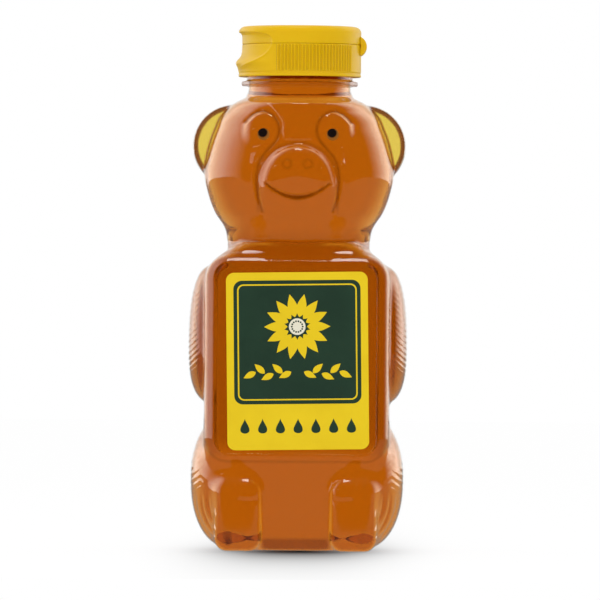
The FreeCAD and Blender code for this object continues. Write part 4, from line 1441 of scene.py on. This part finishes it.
def make_floor():
    """White table with a straight front edge; it glows to the eye less where the bottle's shadow is painted
    on it.
    """
    half = FLOOR_HALF_WIDTH
    corners = [(-half, -TABLE_FRONT, 0), (half, -TABLE_FRONT, 0), (half, half, 0), (-half, half, 0)]
    floor = mesh_object("floor", corners, [(0, 1, 2, 3)], smooth=False, unit=1)
    made, tree, shader = material("floor", Roughness=0.6, Base_Color=FLOOR_COLOUR)
    rays = add_node(tree, "LightPath").outputs
    dim = add_node(tree, "MapRange", Value=painted_floor_shadow(tree), To_Min=FLOOR_STRENGTH, To_Max=0.0)
    share = calculate(tree, "MULTIPLY", rays["Is Camera Ray"], FLOOR_GLOW)
    seen = mix_shaders(tree, share, shader, add_node(tree, "Emission", Strength=dim))
    white = add_node(tree, "MapRange", Value=rays["Is Transmission Ray"], To_Min=MIRRORED_FLOOR)
    beyond = add_node(tree, "Emission", Strength=white)
    show(tree, mix_shaders(tree, bent_rays(tree, rays), seen, beyond))
    floor.data.materials.append(made)


def make_room():
    """Room that only mirrors see: unlit in front of the table, bright at its sides, with a dim roof."""
    degrees = np.linspace(ROOM_ANGLES[0], ROOM_ANGLES[-1], ROOM_STEPS + 1)
    glows = np.interp(degrees, ROOM_ANGLES, ROOM_GLOWS)
    points = []
    shades = []
    for height, radius, roof in zip(ROOM_LEVELS, (ROOM_RADIUS, ROOM_RADIUS, TINY), (0, 0, 1)):
        for turn, shade in zip(np.radians(degrees), glows):
            points.append((radius * math.sin(turn), -radius * math.cos(turn), height))
            shades.append(shade + roof * (ROOM_ROOF - shade))
    count = ROOM_STEPS + 1
    faces = [
        (row * count + i, row * count + i + 1, (row + 1) * count + i + 1, (row + 1) * count + i)
        for row in range(len(ROOM_LEVELS) - 1)
        for i in range(ROOM_STEPS)
    ]
    room = mesh_object("room_front", points, faces, smooth=False, unit=1)
    paint(room, np.array(shades)[:, None] * np.ones(3))
    made, tree = bare_material("room_front")
    show(tree, add_node(tree, "Emission", Color=painted(tree)))
    room.data.materials.append(made)
    room.visible_camera = False
    room.visible_diffuse = False
    room.visible_transmission = False
    room.visible_shadow = False


def area_light(name, place, size, power, mirrored=True):
    light = bpy.data.lights.new(name, "AREA")
    light.shape = "RECTANGLE"
    light.size, light.size_y = size
    light.energy = power
    lamp = add_object(name, light)
    lamp.location = place
    direction = Vector(LAMP_AIM) - Vector(place)
    lamp.rotation_euler = direction.to_track_quat("-Z", "Y").to_euler()
    lamp.visible_glossy = mirrored
    lamp.visible_transmission = False


def make_camera():
    data = bpy.data.cameras.new("camera")
    data.sensor_width = SENSOR_WIDTH
    data.lens = SENSOR_WIDTH * CAMERA_DISTANCE / VIEW_WIDTH
    data.clip_end = 20
    camera = add_object("camera", data)
    camera.location = (
        CAMERA_SHIFT_X + CAMERA_DISTANCE * math.sin(CAMERA_AZIMUTH),
        -CAMERA_DISTANCE * math.cos(CAMERA_AZIMUTH),
        VIEW_HEIGHT,
    )
    camera.rotation_euler = (math.radians(90), -CAMERA_ROLL, CAMERA_AZIMUTH)
    bpy.context.scene.camera = camera


make_world()
make_floor()
make_room()
area_light("left_softbox", place=(-0.72, -0.66, 0.38), size=(0.24, 0.06), power=0.06)
area_light("right_softbox", place=(0.76, -0.64, 0.38), size=(0.03, 0.05), power=0.014)
area_light("top_softbox", place=(0, -0.1, 0.9), size=(0.2, 0.2), power=0.8)
area_light("front_fill", place=(0, -1.5, 0.6), size=(1.0, 1.0), power=4.5, mirrored=False)
make_camera()

scene = bpy.context.scene
scene.view_settings.view_transform = "Standard"
scene.cycles.transparent_max_bounces = 32
scene.cycles.transmission_bounces = 16
scene.cycles.max_bounces = 24
